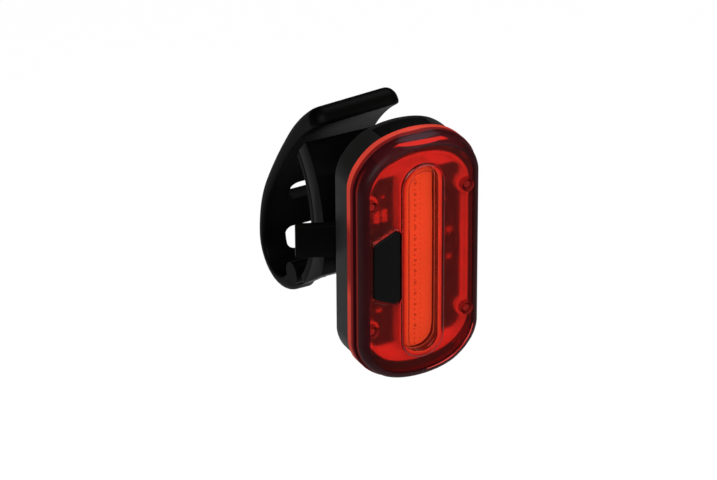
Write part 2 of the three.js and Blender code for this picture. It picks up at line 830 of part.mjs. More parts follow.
addPiece('battery_cell', cellPlate(1, cellCornerRadius, cellFrontY, cellBackY), '#b8bcc2', 0.35, 0.7);
const tape = cellPlate(tapeShare, cellCornerRadius, cellBackY, shellBackY - shellFloor);
addPiece('battery_tape', tape, '#e6e2d2', 0.9);
addPiece('battery_plug', box(
  -plugHalfWidth, plugHalfWidth, mainBoardBackY, mainBoardBackY + plugHalfWidth, plugBottomZ, plugTopZ,
), '#ece8de', 0.5);

const leads = [
  { name: 'black', side: -1, color: '#17181a' },
  { name: 'red', side: 1, color: '#a01c18' },
];
for (const { name, side, color } of leads) {
  const place = { x: side * plugHalfWidth / 2, y: cellFrontY + leadRadius * 2 };
  const lead = rodAlongZ(leadRadius, place, cellTopZ, plugBottomZ, leadSides);
  addPiece(`battery_lead_${name}`, lead, color, 0.6);
}

// Rubber cover of the charging socket
function makeCover() {
  const slab = cut(
    shared(
      plate(bodyOutline(-clearance), coverFrontY + clearance, coverBackY - clearance),
      box(clearance - coverHalfWidth, coverHalfWidth - clearance, 0, shellBackY, 0, bodyHalfHeight),
    ),
    plate(bodyOutline(clearance - coverRecess), 0, shellBackY),
  );
  const plug = alongZ(socketOval(clearance), socketTopZ + clearance, bodyHalfHeight - coverRecess / 2);
  return joined(slab, plug);
}

addPiece('charging_cover', makeCover(), '#0c0c0c', 0.75);

// Rail screwed to the back of the shell

function makeRail() {
  const footOutline = rectangleOutline(railHalfWidth, railHalfHeight, railCornerRadius);
  const foot = plate(footOutline, shellBackY, railNeckFrontY);
  const runHalf = railHalfHeight - railCornerRadius;
  const neck = box(
    -railNeckHalfWidth, railNeckHalfWidth,
    railNeckFrontY - smallGap, railHeadFrontY + smallGap, -runHalf, runHalf,
  );
  const head = box(-railHeadHalfWidth, railHeadHalfWidth, railHeadFrontY, railBackY, -runHalf, runHalf);
  const screwHoles = railScrewPlaces.flatMap((place) => [
    rodAlongY(railScrewRadius, place, shellBackY - overrun, railBackY + overrun),
    rodAlongY(screwHeadRadius + clearance, place, railNeckFrontY, railBackY + overrun),
  ]);
  const leverNotch = box(
    -railHeadHalfWidth - overrun, -railNeckHalfWidth - clearance,
    railHeadFrontY - overrun, railBackY + overrun,
    -railNotchHalf, railNotchHalf,
  );
  return cut(joined(foot, neck, head), ...screwHoles, leverNotch);
}

addPiece('mount_rail', makeRail(), '#161616', 0.6);

const railScrewLength = railNeckFrontY - shellBackY + shellFloor - smallGap;
railScrewPlaces.forEach((place, index) => {
  const screw = makeScrew(railScrewRadius - clearance, railScrewLength, railNeckFrontY, place);
  addPiece(`rail_screw_${index + 1}`, screw, '#3a3a3c', 0.35, 1);
});

// Saddle: a curved plate with a neck that grips the rail

function saddleArc(radius, fromDegrees, toDegrees, steps = 14) {
  const centreY = saddleDeepestY + saddleRadius;
  return Array.from({ length: steps + 1 }, (_, step) => {
    const angle = toRadians(fromDegrees + (toDegrees - fromDegrees) * step / steps);
    return at(centreY - radius * Math.cos(angle), saddleCentreZ + radius * Math.sin(angle));
  });
}

const plateInnerRadius = saddleRadius + linerThickness + clearance / 3;
const gripFrontY = railNeckFrontY + smallGap;

function makeSaddlePlate() {
  return acrossX([
    ...saddleArc(plateInnerRadius, saddleBottomAngle, saddleTopAngle),
    ...saddleArc(plateInnerRadius + saddlePlate, saddleTopAngle, saddleBottomAngle),
  ], -saddleHalfWidth, saddleHalfWidth);
}

function makeNeck() {
  const middleRadius = plateInnerRadius + saddlePlate / 2;
  return acrossX([
    at(gripFrontY, -neckHalfHeight),
    ...saddleArc(middleRadius, saddleBottomAngle * neckSpanShare, saddleTopAngle * neckSpanShare, 6),
    at(gripFrontY, neckHalfHeight),
  ], -saddleNeckHalfWidth, saddleNeckHalfWidth);
}

// Slot that the rail slides up into
function makeRailSlot() {
  const neckHalf = railNeckHalfWidth + smallGap;
  const headHalf = railHeadHalfWidth + smallGap;
  const bottomZ = -neckHalfHeight - overrun;
  return joined(
    box(-neckHalf, neckHalf, gripFrontY - overrun, railHeadFrontY + overrun, bottomZ, railHalfHeight),
    box(-headHalf, headHalf, railHeadFrontY - clearance, railBackY + clearance, bottomZ, railHalfHeight),
  );
}

// The saddle's underside slopes up towards the light and is hollow between two side walls
function undersideTools() {
  const farZ = chinBackZ - bodyHalfHeight;
  const chin = acrossX([
    at(chinFrontY, farZ),
    at(chinBackY, farZ),
    at(chinBackY, chinBackZ),
    at(chinFrontY, chinFrontZ),
  ], -saddleHalfWidth - overrun, saddleHalfWidth + overrun);
  const hollow = acrossX([
    at(hollowFrontY, farZ),
    at(chinBackY, farZ),
    at(chinBackY, chinBackZ + hollowDepth),
    at(hollowFrontY, hollowFrontZ),
  ], hollowWall - saddleHalfWidth, saddleHalfWidth - hollowWall);
  return [chin, hollow];
}

// Two lugs between the legs of the strap carry its pin
function makeStrapLugs() {
  const arcSteps = 10;
  const arcStart = toRadians(-108);
  const arcTurn = toRadians(198);
  const arc = Array.from({ length: arcSteps + 1 }, (_, step) => {
    const angle = arcStart + arcTurn * step / arcSteps;
    return at(strapHingeY + strapEyeRadius * Math.cos(angle), strapHingeZ + strapEyeRadius * Math.sin(angle));
  });
  const profile = [at(lugRootY, lugRootBottomZ), ...arc, at(lugWaistY, lugWaistZ), at(lugRootY, lugRootTopZ)];
  const outer = ladderHalfWidth - smallGap;
  return [-outer, outer - lugThickness].map((leftX) => acrossX(profile, leftX, leftX + lugThickness));
}

function makeHook() {
  const rootZ = neckHalfHeight - hookRootDepth;
  const bendZ = neckHalfHeight + hookRise;
  const backY = hookFrontY + hookBar;
  const lipY = hookFrontY - hookReach;
  return acrossX([
    at(hookFrontY, rootZ),
    at(backY, rootZ),
    at(backY, bendZ + hookBar),
    at(lipY, bendZ + hookBar + hookBar * hookLipShare),
    at(lipY, bendZ + hookBar * hookLipShare),
    at(hookFrontY, bendZ),
  ], -ladderHalfWidth * hookLipShare, ladderHalfWidth * hookLipShare);
}

// Ears above and below the lever that hold its pin
function makeLeverLugs() {
  const outerX = leverPivotX - leverLugMargin;
  const rootX = smallGap - saddleNeckHalfWidth;
  const frontY = leverPivotY - leverLugMargin;
  const backY = leverPivotY + leverLugMargin * 2;
  const outerBackY = leverPivotY + leverLugMargin;
  const profile = [at(outerX, frontY), at(rootX, frontY), at(rootX, backY), at(outerX, outerBackY)];
  const innerZ = leverHalfHeight + smallGap;
  return [-innerZ - leverLugDepth, innerZ].map((bottomZ) => (
    alongZ(profile, bottomZ, bottomZ + leverLugDepth)
  ));
}

const leverPinHalf = leverHalfHeight + leverLugDepth;
const leverPivot = { x: leverPivotX, y: leverPivotY };
const strapPivot = { y: strapHingeY, z: strapHingeZ };

function makeLeverPinHole() {
  const holeHalf = leverPinHalf + overrun;
  return rodAlongZ(leverPinRadius + clearance / 3, leverPivot, -holeHalf, holeHalf);
}

function makeSaddle() {
  const leverRoom = box(
    -saddleHalfWidth, -railNeckHalfWidth,
    gripFrontY - overrun, leverPivotY + leverThickness * 2,
    -leverHalfHeight - smallGap, leverHalfHeight + smallGap,
  );
  const legHalf = strapHalfWidth + overrun;
  const legInner = ladderHalfWidth - clearance;
  const legRooms = [-legHalf, legInner].map((leftX) => (
    rodAlongX(strapEyeRadius + smallGap, strapPivot, leftX, leftX + legHalf - legInner)
  ));
  const strapPinHole = rodAlongX(strapPinRadius + clearance / 2, strapPivot, -legHalf, legHalf, pinSides);
  const body = cut(
    joined(makeSaddlePlate(), makeNeck(), makeHook()),
    makeRailSlot(), leverRoom, ...undersideTools(),
  );
  return cut(
    joined(body, ...makeStrapLugs(), ...makeLeverLugs()),
    ...legRooms, strapPinHole, makeLeverPinHole(),
  );
}

addPiece('saddle_base', makeSaddle(), '#0e0e0e', 0.6);

function makeLiner() {
  const bottomAngle = saddleBottomAngle * linerBottomShare;
  const topAngle = saddleTopAngle * linerTopShare;
  const pad = acrossX([
    ...saddleArc(saddleRadius, bottomAngle, topAngle),
    ...saddleArc(saddleRadius + linerThickness, topAngle, bottomAngle),
  ], -saddleHalfWidth, saddleHalfWidth);
  const lugNotch = box(
    -ladderHalfWidth, ladderHalfWidth, railBackY, strapHingeY, -bodyHalfHeight, lugRootTopZ + smallGap,
  );
  return cut(pad, lugNotch);
}

addPiece('saddle_liner', makeLiner(), '#121212', 0.8);

// Release lever beside the rail, with a tooth that catches in the rail's notch
function makeLever() {
  const along = at(leverTipX - leverPivotX, leverTipY - leverPivotY);
  const half = leverThickness / 2;
  const across = at(-along.y, along.x).setLength(half);
  const pivot = at(leverPivotX, leverPivotY);
  const tip = at(leverTipX, leverTipY);
  const arm = alongZ([
    tip.clone().add(across),
    pivot.clone().add(across),
    pivot.clone().sub(across),
    tip.clone().sub(across),
  ], -leverHalfHeight, leverHalfHeight);
  const toothX = -railNeckHalfWidth - smallGap * 2;
  const toothHalf = railNotchHalf - smallGap;
  const tooth = alongZ([
    at(leverPivotX, leverPivotY - half),
    at(toothX, leverPivotY - half),
    at(toothX, leverPivotY + half * leverToothShare),
    at(leverPivotX, leverPivotY + half),
  ], -toothHalf, toothHalf);
  const knuckle = rodAlongZ(half + smallGap, leverPivot, -leverHalfHeight, leverHalfHeight, pinSides);
  return cut(joined(arm, tooth, knuckle), makeLeverPinHole());
}

addPiece('release_lever', makeLever(), '#131313', 0.6);
addPiece('lever_pin', rodAlongZ(leverPinRadius, leverPivot, -leverPinHalf, leverPinHalf), '#8c8f94', 0.3, 1);

// Ladder strap: an eye at its root, a band along the arcs and the openings in it

// Place and direction of the strap's middle line at a distance from its root
function strapPlace(distance) {
  let y = strapStartY;
  let z = strapStartZ;
  let angle = toRadians(strapStartAngle);
  let rest = distance;
  for (const { lengthShare, turn } of strapBends) {
    const length = strapLength * lengthShare;
    const radius = length / toRadians(turn);
    const run = Math.min(rest, length);
    const end = angle + run / radius;
    y += radius * (Math.sin(end) - Math.sin(angle));
    z += radius * (Math.cos(angle) - Math.cos(end));
    angle = end;
    rest -= run;
  }
  return { centre: new THREE.Vector3(0, y, z), angle };
}

// Section of the strap: flat towards the tube, with full round shoulders outside
function strapSection(distance) {
  const share = distance / strapLength;
  const intoTip = Math.max(distance - strapLength + strapTipRadius, 0);
  const halfWidth = strapHalfWidth - strapTipRadius + Math.sqrt(strapTipRadius ** 2 - intoTip ** 2);
  const halfThickness = strapHalfThickness * (1 + tipThickening * share ** 3);
  const outside = { x: halfWidth, z: -halfThickness, radius: halfThickness * strapOuterEdgeShare };
  const inside = { x: halfWidth, z: halfThickness, radius: strapInnerEdge };
  return roundedOutline([outside, inside, mirrorX(inside), mirrorX(outside)]);
}

function strapRing(distance) {
  const { centre, angle } = strapPlace(distance);
  const inward = new THREE.Vector3(0, -Math.sin(angle), Math.cos(angle));
  const lengthwise = new THREE.Vector3(0, 1, 0);
  return strapSection(distance).map((point) => new THREE.Vector3(point.x, 0, 0)
    .addScaledVector(inward, point.y)
    .applyAxisAngle(lengthwise, -strapTwist * distance / strapLength)
    .add(centre));
}

function makeBand() {
  const bodySteps = 28;
  const tipSteps = 4;
  const straight = strapLength - strapTipRadius;
  const distances = [
    ...Array.from({ length: bodySteps }, (_, step) => straight * step / bodySteps),
    ...Array.from({ length: tipSteps + 1 }, (_, step) => (
      straight + strapTipRadius * Math.sin(Math.PI / 2 * step / tipSteps)
    )),
  ];
  return skin(distances.map(strapRing), strapSection(0));
}

function makeLadderOpening(distance) {
  const { centre, angle } = strapPlace(distance);
  const outline = rectangleOutline(ladderHalfWidth, ladderHalfLength, ladderHalfLength * ladderCornerShare);
  return plate(outline, -strapHalfThickness * 2, strapHalfThickness * 2)
    .rotateX(angle - Math.PI / 2)
    .translate(0, centre.y, centre.z);
}

function makeStrap() {
  const eye = rodAlongX(strapEyeRadius, strapPivot, -strapHalfWidth, strapHalfWidth);
  const openings = Array.from({ length: ladderCount }, (_, index) => (
    makeLadderOpening(ladderRoot + (index + 1) * ladderPitch)
  ));
  const rootSlot = box(
    -ladderHalfWidth, ladderHalfWidth,
    strapHingeY - strapEyeRadius * 2, rootSlotBackY,
    strapHingeZ - strapEyeRadius * 4, strapHingeZ + strapEyeRadius * 2,
  );
  const pinHoleHalf = strapPinHalfLength + clearance;
  const pinHole = rodAlongX(strapPinRadius + clearance, strapPivot, -pinHoleHalf, pinHoleHalf, pinSides);
  return cut(joined(makeBand(), eye), ...openings, rootSlot, pinHole);
}

addPiece('ladder_strap', makeStrap(), '#101010', 0.75);
const strapPin = rodAlongX(strapPinRadius, strapPivot, -strapPinHalfLength, strapPinHalfLength, pinSides);
addPiece('strap_pin', strapPin, '#7d8085', 0.3, 1);

// The origin is the centre of the box round the whole light
const middle = new THREE.Box3().setFromObject(group).getCenter(new THREE.Vector3());
for (const mesh of group.children) {
  mesh.geometry.translate(-middle.x, -middle.y, -middle.z);
}

export default group;
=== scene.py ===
import math
import bpy
import bmesh
from mathutils import Matrix, Vector


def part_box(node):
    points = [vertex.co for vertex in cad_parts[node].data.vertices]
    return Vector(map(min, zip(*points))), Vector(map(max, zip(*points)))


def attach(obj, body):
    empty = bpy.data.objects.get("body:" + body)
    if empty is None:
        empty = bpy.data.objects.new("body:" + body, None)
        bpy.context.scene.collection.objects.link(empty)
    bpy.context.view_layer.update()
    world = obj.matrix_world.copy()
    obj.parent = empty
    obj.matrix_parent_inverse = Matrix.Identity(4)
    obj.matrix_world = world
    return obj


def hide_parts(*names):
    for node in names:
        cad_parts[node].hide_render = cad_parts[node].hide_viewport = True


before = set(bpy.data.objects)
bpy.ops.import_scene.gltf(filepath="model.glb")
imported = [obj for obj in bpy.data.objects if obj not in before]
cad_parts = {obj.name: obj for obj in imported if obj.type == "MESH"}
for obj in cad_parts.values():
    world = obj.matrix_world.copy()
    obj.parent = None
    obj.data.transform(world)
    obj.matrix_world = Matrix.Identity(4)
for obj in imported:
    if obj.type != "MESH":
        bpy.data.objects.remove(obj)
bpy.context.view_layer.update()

# Shapes are drawn in millimetres round the middle of the lens: X right, Y to the back, Z up.
# placeInFrame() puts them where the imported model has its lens.
lensLow, lensHigh = (Vector(corner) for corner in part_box("front_lens"))
ringFrontY = -3.1
lightOrigin = Vector(((lensLow.x + lensHigh.x) / 2, lensLow.y - ringFrontY / 1000, (lensLow.z + lensHigh.z) / 2))
placeInFrame = Matrix.Translation(lightOrigin) @ Matrix.Scale(0.001, 4)

scene = bpy.context.scene
baseBody = "light_and_saddle"


def here(x, y, z):
    return placeInFrame @ Vector((x, y, z))


# Camera

camera = {"lens": 187.8, "sensor": 36, "nearest": 0.05, "place": (-411.245, -746.389, 451.094),
          "back": (-0.41353, -0.78352, 0.46378), "roll": -0.326}


def makeCamera():
    back = Vector(camera["back"]).normalized()
    level = Vector((0, 0, 1)).cross(back).normalized()
    upright = back.cross(level)
    turn = math.radians(camera["roll"])
    right = level * math.cos(turn) + upright * math.sin(turn)
    up = upright * math.cos(turn) - level * math.sin(turn)
    data = bpy.data.cameras.new("photoCamera")
    data.lens = camera["lens"]
    data.sensor_width = camera["sensor"]
    data.clip_start = camera["nearest"]
    view = bpy.data.objects.new("photoCamera", data)
    scene.collection.objects.link(view)
    turned = Matrix((right, up, back)).transposed().to_4x4()
    view.matrix_world = Matrix.Translation(here(*camera["place"])) @ turned
    scene.camera = view


makeCamera()
print("camera is set")


# Mesh helpers

# Corners run anticlockwise as seen from the front: (x, z, radius)
def roundedFace(bm, corners, y, steps):
    verts = [bm.verts.new((x, y, z)) for x, z, radius in corners]
    bm.faces.new(verts)
    for index, (x, z, radius) in enumerate(corners):
        point = Vector((x, z))
        toBefore = (Vector(corners[index - 1][:2]) - point).normalized()
        toAfter = (Vector(corners[(index + 1) % len(corners)][:2]) - point).normalized()
        tangent = radius / math.tan(toBefore.angle(toAfter) / 2)
        bmesh.ops.bevel(bm, geom=[verts[index]], offset=tangent, offset_type='OFFSET', segments=steps,
                        profile=0.5, material=-1, affect='VERTICES')
    bmesh.ops.remove_doubles(bm, verts=bm.verts[:], dist=0.02)
    bm.faces.ensure_lookup_table()
    return bm.faces[0]


# Moves a face along Y; an inset of zero makes a straight wall
def push(bm, face, inset, dy):
    if inset:
        bmesh.ops.inset_region(bm, faces=[face], thickness=inset, use_even_offset=True)
        bmesh.ops.translate(bm, verts=face.verts[:], vec=(0, dy, 0))
        return face
    made = bmesh.ops.extrude_face_region(bm, geom=[face, *face.edges, *face.verts])["geom"]
    top = next(item for item in made if isinstance(item, bmesh.types.BMFace))
    bmesh.ops.translate(bm, verts=top.verts[:], vec=(0, dy, 0))
    return top


# Rounds the edge of a face while it moves by dy and shrinks by inset
def pushRound(bm, face, inset, dy, steps=6, hollow=False):
    for step in range(steps):
        start, end = (math.pi / 2 * share / steps for share in (step, step + 1))
        if hollow:
            inward = inset * (math.sin(end) - math.sin(start))
            along = dy * (math.cos(start) - math.cos(end))
        else:
            inward = inset * (math.cos(start) - math.cos(end))
            along = dy * (math.sin(end) - math.sin(start))
        face = push(bm, face, inward, along)
    return face


# A closed slab of a profile: (y, z) points across X, or (x, y) points along Z
def slab(profile, low, high, axis='x'):
    bm = bmesh.new()
    if axis == 'x':
        verts = [bm.verts.new((low, a, b)) for a, b in profile]
        step = (high - low, 0, 0)
    else:
        verts = [bm.verts.new((a, b, low)) for a, b in profile]
        step = (0, 0, high - low)
    face = bm.faces.new(verts)
    made = bmesh.ops.extrude_face_region(bm, geom=[face])["geom"]
    bmesh.ops.translate(bm, verts=[item for item in made if isinstance(item, bmesh.types.BMVert)], vec=step)
    return bm


def block(x0, x1, y0, y1, z0, z1):
    bm = bmesh.new()
    bmesh.ops.create_cube(bm, size=1)
    bmesh.ops.scale(bm, verts=bm.verts[:], vec=(x1 - x0, y1 - y0, z1 - z0))
    bmesh.ops.translate(bm, verts=bm.verts[:], vec=((x0 + x1) / 2, (y0 + y1) / 2, (z0 + z1) / 2))
    return bm


axisTurns = {'x': Matrix.Rotation(math.pi / 2, 3, 'Y'), 'y': Matrix.Rotation(math.pi / 2, 3, 'X'),
             'z': Matrix.Identity(3)}


def rod(radius, length, axis, centre, sides=48):
    bm = bmesh.new()
    bmesh.ops.create_cone(bm, cap_ends=True, segments=sides, radius1=radius, radius2=radius, depth=length)
    bmesh.ops.rotate(bm, verts=bm.verts[:], cent=(0, 0, 0), matrix=axisTurns[axis])
    bmesh.ops.translate(bm, verts=bm.verts[:], vec=centre)
    return bm


# Makes an object, still in millimetres, with its faces pointing outwards
def objectFrom(bm, name):
    bmesh.ops.remove_doubles(bm, verts=bm.verts[:], dist=0.0005)
    bmesh.ops.recalc_face_normals(bm, faces=bm.faces[:])
    mesh = bpy.data.meshes.new(name)
    bm.to_mesh(mesh)
    bm.free()
    made = bpy.data.objects.new(name, mesh)
    scene.collection.objects.link(made)
    return made


# Applies the modifiers of an object
def bake(made):
    graph = bpy.context.evaluated_depsgraph_get()
    mesh = bpy.data.meshes.new_from_object(made.evaluated_get(graph))
    made.modifiers.clear()
    old = made.data
    made.data = mesh
    bpy.data.meshes.remove(old)
    return made


def combineObject(made, other, operation):
    step = made.modifiers.new("combine", 'BOOLEAN')
    step.operation = operation
    step.solver = 'EXACT'
    step.object = other
    bake(made)
    bpy.data.objects.remove(other)
    return made


# Joins or cuts an object with bmeshes, one after another
def combine(made, tools, operation):
    for tool in tools:
        combineObject(made, objectFrom(tool, "tool"), operation)
    return made


def soften(made, width, segments=3, angle=32):
    step = made.modifiers.new("soften", 'BEVEL')
    step.width = width
    step.segments = segments
    step.limit_method = 'ANGLE'
    step.angle_limit = math.radians(angle)
    step.miter_outer = 'MITER_ARC'
    step.use_clamp_overlap = True
    return bake(made)


# Shades the piece, gives faces in a zone that zone's material, and puts it in the frame
def finishPiece(made, material, body, nodes, sharpAngle, zones=()):
    mesh = made.data
    mesh.materials.clear()
    for each in (material, *(zoneMaterial for zoneMaterial, belongs in zones)):
        mesh.materials.append(each)
    for polygon in mesh.polygons:
        polygon.use_smooth = True
        hits = [index for index, (zoneMaterial, belongs) in enumerate(zones, 1)
                if belongs(polygon.center, polygon.normal)]
        polygon.material_index = hits[0] if hits else 0
    mesh.transform(placeInFrame)
    mesh.set_sharp_from_angle(angle=math.radians(sharpAngle))
    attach(made, body)
    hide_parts(*nodes)


# Materials

def shaderGroup(name, inputs, outputs):
    group = bpy.data.node_groups.new(name, 'ShaderNodeTree')
    for label, kind, value in inputs:
        socket = group.interface.new_socket(name=label, in_out='INPUT', socket_type=kind)
        socket.default_value = value
    for label, kind in outputs:
        group.interface.new_socket(name=label, in_out='OUTPUT', socket_type=kind)
    return group, group.nodes.new('NodeGroupInput'), group.nodes.new('NodeGroupOutput')


# Gives the sockets of a node plain values, colours or the outputs of other nodes
def feed(tree, node, values):
    for label, value in values.items():
        socket = node.inputs[label]
        if isinstance(value, bpy.types.NodeSocket):
            tree.links.new(value, socket)
        else:
            socket.default_value = (*value, 1) if isinstance(value, tuple) else value


def feedShader(material, values):
    feed(material.node_tree, material.node_tree.nodes["Principled BSDF"], values)


def addMath(tree, operation, first, second):
    node = tree.nodes.new('ShaderNodeMath')
    node.operation = operation
    feed(tree, node, {0: first, 1: second})
    return node.outputs['Value']


def addRamp(tree, source, low, high, first, last):
    ramp = tree.nodes.new('ShaderNodeMapRange')
    feed(tree, ramp, {'Value': source, 'From Min': low, 'From Max': high, 'To Min': first, 'To Max': last})
    return ramp.outputs['Result']


def addMix(tree, factor, first, second):
    mix = tree.nodes.new('ShaderNodeMix')
    mix.data_type = 'RGBA'
    feed(tree, mix, {'Factor': factor, 'A': first, 'B': second})
    return mix.outputs['Result']


# One from low to high along a coordinate, with soft ends
def addBand(tree, source, low, high, soft):
    rise = addRamp(tree, source, low - soft, low, 0, 1)
    fall = addRamp(tree, source, high, high + soft, 1, 0)
    return addMath(tree, 'MULTIPLY', rise, fall)


def addNoise(tree, scale, detail):
    place = tree.nodes.new('ShaderNodeTexCoord')
    noise = tree.nodes.new('ShaderNodeTexNoise')
    feed(tree, noise, {'Vector': place.outputs['Object'], 'Scale': scale, 'Detail': detail})
    return noise.outputs['Fac']


# X, Y and Z of a point on the piece, in metres
def addPlace(tree):
    place = tree.nodes.new('ShaderNodeTexCoord')
    split = tree.nodes.new('ShaderNodeSeparateXYZ')
    feed(tree, split, {'Vector': place.outputs['Object']})
    return split.outputs


# Distance over two directions at right angles
def addReach(tree, first, second):
    both = tree.nodes.new('ShaderNodeCombineXYZ')
    feed(tree, both, {'X': first, 'Y': second})
    far = tree.nodes.new('ShaderNodeVectorMath')
    far.operation = 'LENGTH'
    feed(tree, far, {0: both.outputs['Vector']})
    return far.outputs['Value']


# Shows another shader instead of the material's own where the share is one
def addOverlay(material, share, overlay):
    tree = material.node_tree
    mix = tree.nodes.new('ShaderNodeMixShader')
    feed(tree, mix, {'Fac': share, 1: tree.nodes["Principled BSDF"].outputs['BSDF'], 2: overlay})
    feed(tree, tree.nodes["Material Output"], {'Surface': mix.outputs['Shader']})


grain = {"detail": 3, "depth": 0.00002, "patchScale": 90, "patchDetail": 4, "patchLow": 0.35, "patchHigh": 0.65}


# Fine moulding grain with slow patches: colour, roughness and height
def makeGrainGroup():
    group, start, end = shaderGroup("mouldedGrain", [
        ("Colour", 'NodeSocketColor', (0.5, 0.5, 0.5, 1)),
        ("Light colour", 'NodeSocketColor', (0.6, 0.6, 0.6, 1)),
        ("Roughness", 'NodeSocketFloat', 0.5),
        ("Roughness spread", 'NodeSocketFloat', 0.1),
        ("Grain scale", 'NodeSocketFloat', 2500.0),
    ], [("Colour", 'NodeSocketColor'), ("Roughness", 'NodeSocketFloat'), ("Height", 'NodeSocketFloat')])
    fine = addNoise(group, start.outputs['Grain scale'], grain["detail"])
    slow = addNoise(group, grain["patchScale"], grain["patchDetail"])
    patch = addRamp(group, slow, grain["patchLow"], grain["patchHigh"], 0, 1)
    spread = addMath(group, 'MULTIPLY', addMath(group, 'SUBTRACT', fine, 0.5), start.outputs['Roughness spread'])
    total = addMath(group, 'ADD', spread, start.outputs['Roughness'])
    total.node.use_clamp = True
    colour = addMix(group, patch, start.outputs['Colour'], start.outputs['Light colour'])
    feed(group, end, {'Colour': colour, 'Roughness': total, 'Height': fine})
    return group


grainGroup = makeGrainGroup()


def grainMaterial(name, colour, lightColour, roughness, spread, grainScale, bump, specular=0.5, metallic=0.0):
    material = bpy.data.materials.new(name)
    material.use_nodes = True
    tree = material.node_tree
    made = tree.nodes.new('ShaderNodeGroup')
    made.node_tree = grainGroup
    feed(tree, made, {'Colour': colour, 'Light colour': lightColour, 'Roughness': roughness,
                      'Roughness spread': spread, 'Grain scale': grainScale})
    height = tree.nodes.new('ShaderNodeBump')
    feed(tree, height, {'Strength': bump, 'Distance': grain["depth"], 'Height': made.outputs['Height']})
    feedShader(material, {'Base Color': made.outputs['Colour'], 'Roughness': made.outputs['Roughness'],
                          'Normal': height.outputs['Normal'], 'Metallic': metallic, 'Specular IOR Level': specular})
    return material


def grainColour(material):
    return next(node for node in material.node_tree.nodes if node.type == 'GROUP').outputs['Colour']


# Tints of the lens: those of the rim, crown and flange hold painted light and shade
lensTint = {
    "body": (0.70, 0.060, 0.052), "window": (0.84, 0.20, 0.11), "shadow": (0.90, 0.60, 0.50),
    "rim": (0.036, 0.003, 0.005), "rimHighlight": (0.42, 0.020, 0.016), "crown": (0.060, 0.005, 0.007),
    "greyReflection": (0.085, 0.035, 0.045), "highlightStreak": (0.95, 0.020, 0.012), "flange": (0.92, 0.075, 0.045),
    "flangeShade": (0.50, 0.020, 0.012), "flangeFrontShade": (0.24, 0.010, 0.010), "post": (0.34, 0.11, 0.11),
    "crest": (0.16, 0.006, 0.006),
}
# Where the lens changes its look, in metres from the middle of the light
lensLook = {
    "lampHalf": 0.0218, "windowEdge": (0.0050, 0.0053), "ceiling": (-0.0010, 0.0046), "ceilingSoft": 0.0001,
    "shadeBand": (-0.0035, 0.0095), "shadeBandSoft": 0.005, "front": (0.0027, 0.0032), "line": (0.0006, 0.0011),
    "lineSoft": 0.0003, "lineEnd": (0.023, 0.029),
}
redPlastic = {"ior": 1.5, "polish": 0.04, "frost": 0.30}
# Ovals on the crown in millimetres, seen from above: a painted grey reflection on the scoop and a painted highlight
# streak along its lower edge
crown = {
    "greyReflection": {"centre": (0.6, 1.1), "radii": (6.6, 1.4), "tilt": 0.0},
    "highlightStreak": {"centre": (0.3, -0.95), "radii": (7.6, 0.75), "tilt": -3.5},
}
ovalEdge = (0.85, 1.05)


def fromOrigin(origin, span):
    return [origin + value for value in span]


# Light that the lamps send through the lens is tinted once, without bending
def addShadowTint(material):
    tree = material.node_tree
    path = tree.nodes.new('ShaderNodeLightPath')
    clear = tree.nodes.new('ShaderNodeBsdfTransparent')
    feed(tree, clear, {'Color': lensTint["shadow"]})
    addOverlay(material, path.outputs['Is Shadow Ray'], clear.outputs['BSDF'])


# Red polycarbonate: weaker in the thin window, frosted on the inside away from it
def makeLensMaterial():
    body = lensTint["body"]
    material = grainMaterial("redLens", body, tuple(c * 1.06 for c in body), 0.05, 0.02, 400.0, 0.02, 0.2)
    tree = material.node_tree
    place = addPlace(tree)
    half = lensLook["lampHalf"]
    nearest = addMath(tree, 'MINIMUM', addMath(tree, 'MAXIMUM', place['Z'], -half), half)
    distance = addReach(tree, addMath(tree, 'SUBTRACT', place['X'], lightOrigin.x),
                        addMath(tree, 'SUBTRACT', place['Z'], nearest))
    outside = addRamp(tree, distance, *lensLook["windowEdge"], 0, 1)
    ceiling = addBand(tree, place['Y'], *fromOrigin(lightOrigin.y, lensLook["ceiling"]), lensLook["ceilingSoft"])
    frosted = addMath(tree, 'MULTIPLY', ceiling, outside)
    feedShader(material, {
        'Base Color': addMix(tree, outside, lensTint["window"], grainColour(material)),
        'Roughness': addRamp(tree, frosted, 0, 1, redPlastic["polish"], redPlastic["frost"]),
        'Transmission Weight': 1, 'IOR': redPlastic["ior"]})
    addShadowTint(material)
    return material


# Thick red plastic at the lens edge: less light gets through it and more comes back from within. The rim, crown and
# flange tints it gets hold painted light and shade
def makeThickMaterial(name, tint, transmission, roughness, specular):
    material = grainMaterial(name, tint, tuple(c * 1.25 for c in tint), roughness, 0.06, 300.0, 0.01, specular)
    feedShader(material, {'Transmission Weight': transmission, 'IOR': redPlastic["ior"]})
    addShadowTint(material)
    return material


# One inside an oval that runs through the light from top to bottom
def addOval(tree, centre, radii, tilt):
    place = tree.nodes.new('ShaderNodeTexCoord')
    turned = tree.nodes.new('ShaderNodeMapping')
    turned.vector_type = 'TEXTURE'
    turned.inputs['Location'].default_value = (lightOrigin.x + centre[0] / 1000, lightOrigin.y + centre[1] / 1000, 0)
    turned.inputs['Rotation'].default_value = (0, 0, math.radians(tilt))
    turned.inputs['Scale'].default_value = (radii[0] / 1000, radii[1] / 1000, 1000)
    feed(tree, turned, {'Vector': place.outputs['Object']})
    far = tree.nodes.new('ShaderNodeVectorMath')
    far.operation = 'LENGTH'
    feed(tree, far, {0: turned.outputs['Vector']})
    return addRamp(tree, far.outputs['Value'], *ovalEdge, 1, 0)


# The crown of the lens, in painted shade: a painted grey reflection on the scoop, with a painted highlight band along
# its lower edge
def makeCrownMaterial():
    material = makeThickMaterial("lensCrown", lensTint["crown"], 0.15, 0.42, 0.02)
    colour = grainColour(material)
    for patch, shape in crown.items():
        colour = addMix(material.node_tree, addOval(material.node_tree, **shape), colour, lensTint[patch])
    feedShader(material, {'Base Color': colour})
    return material
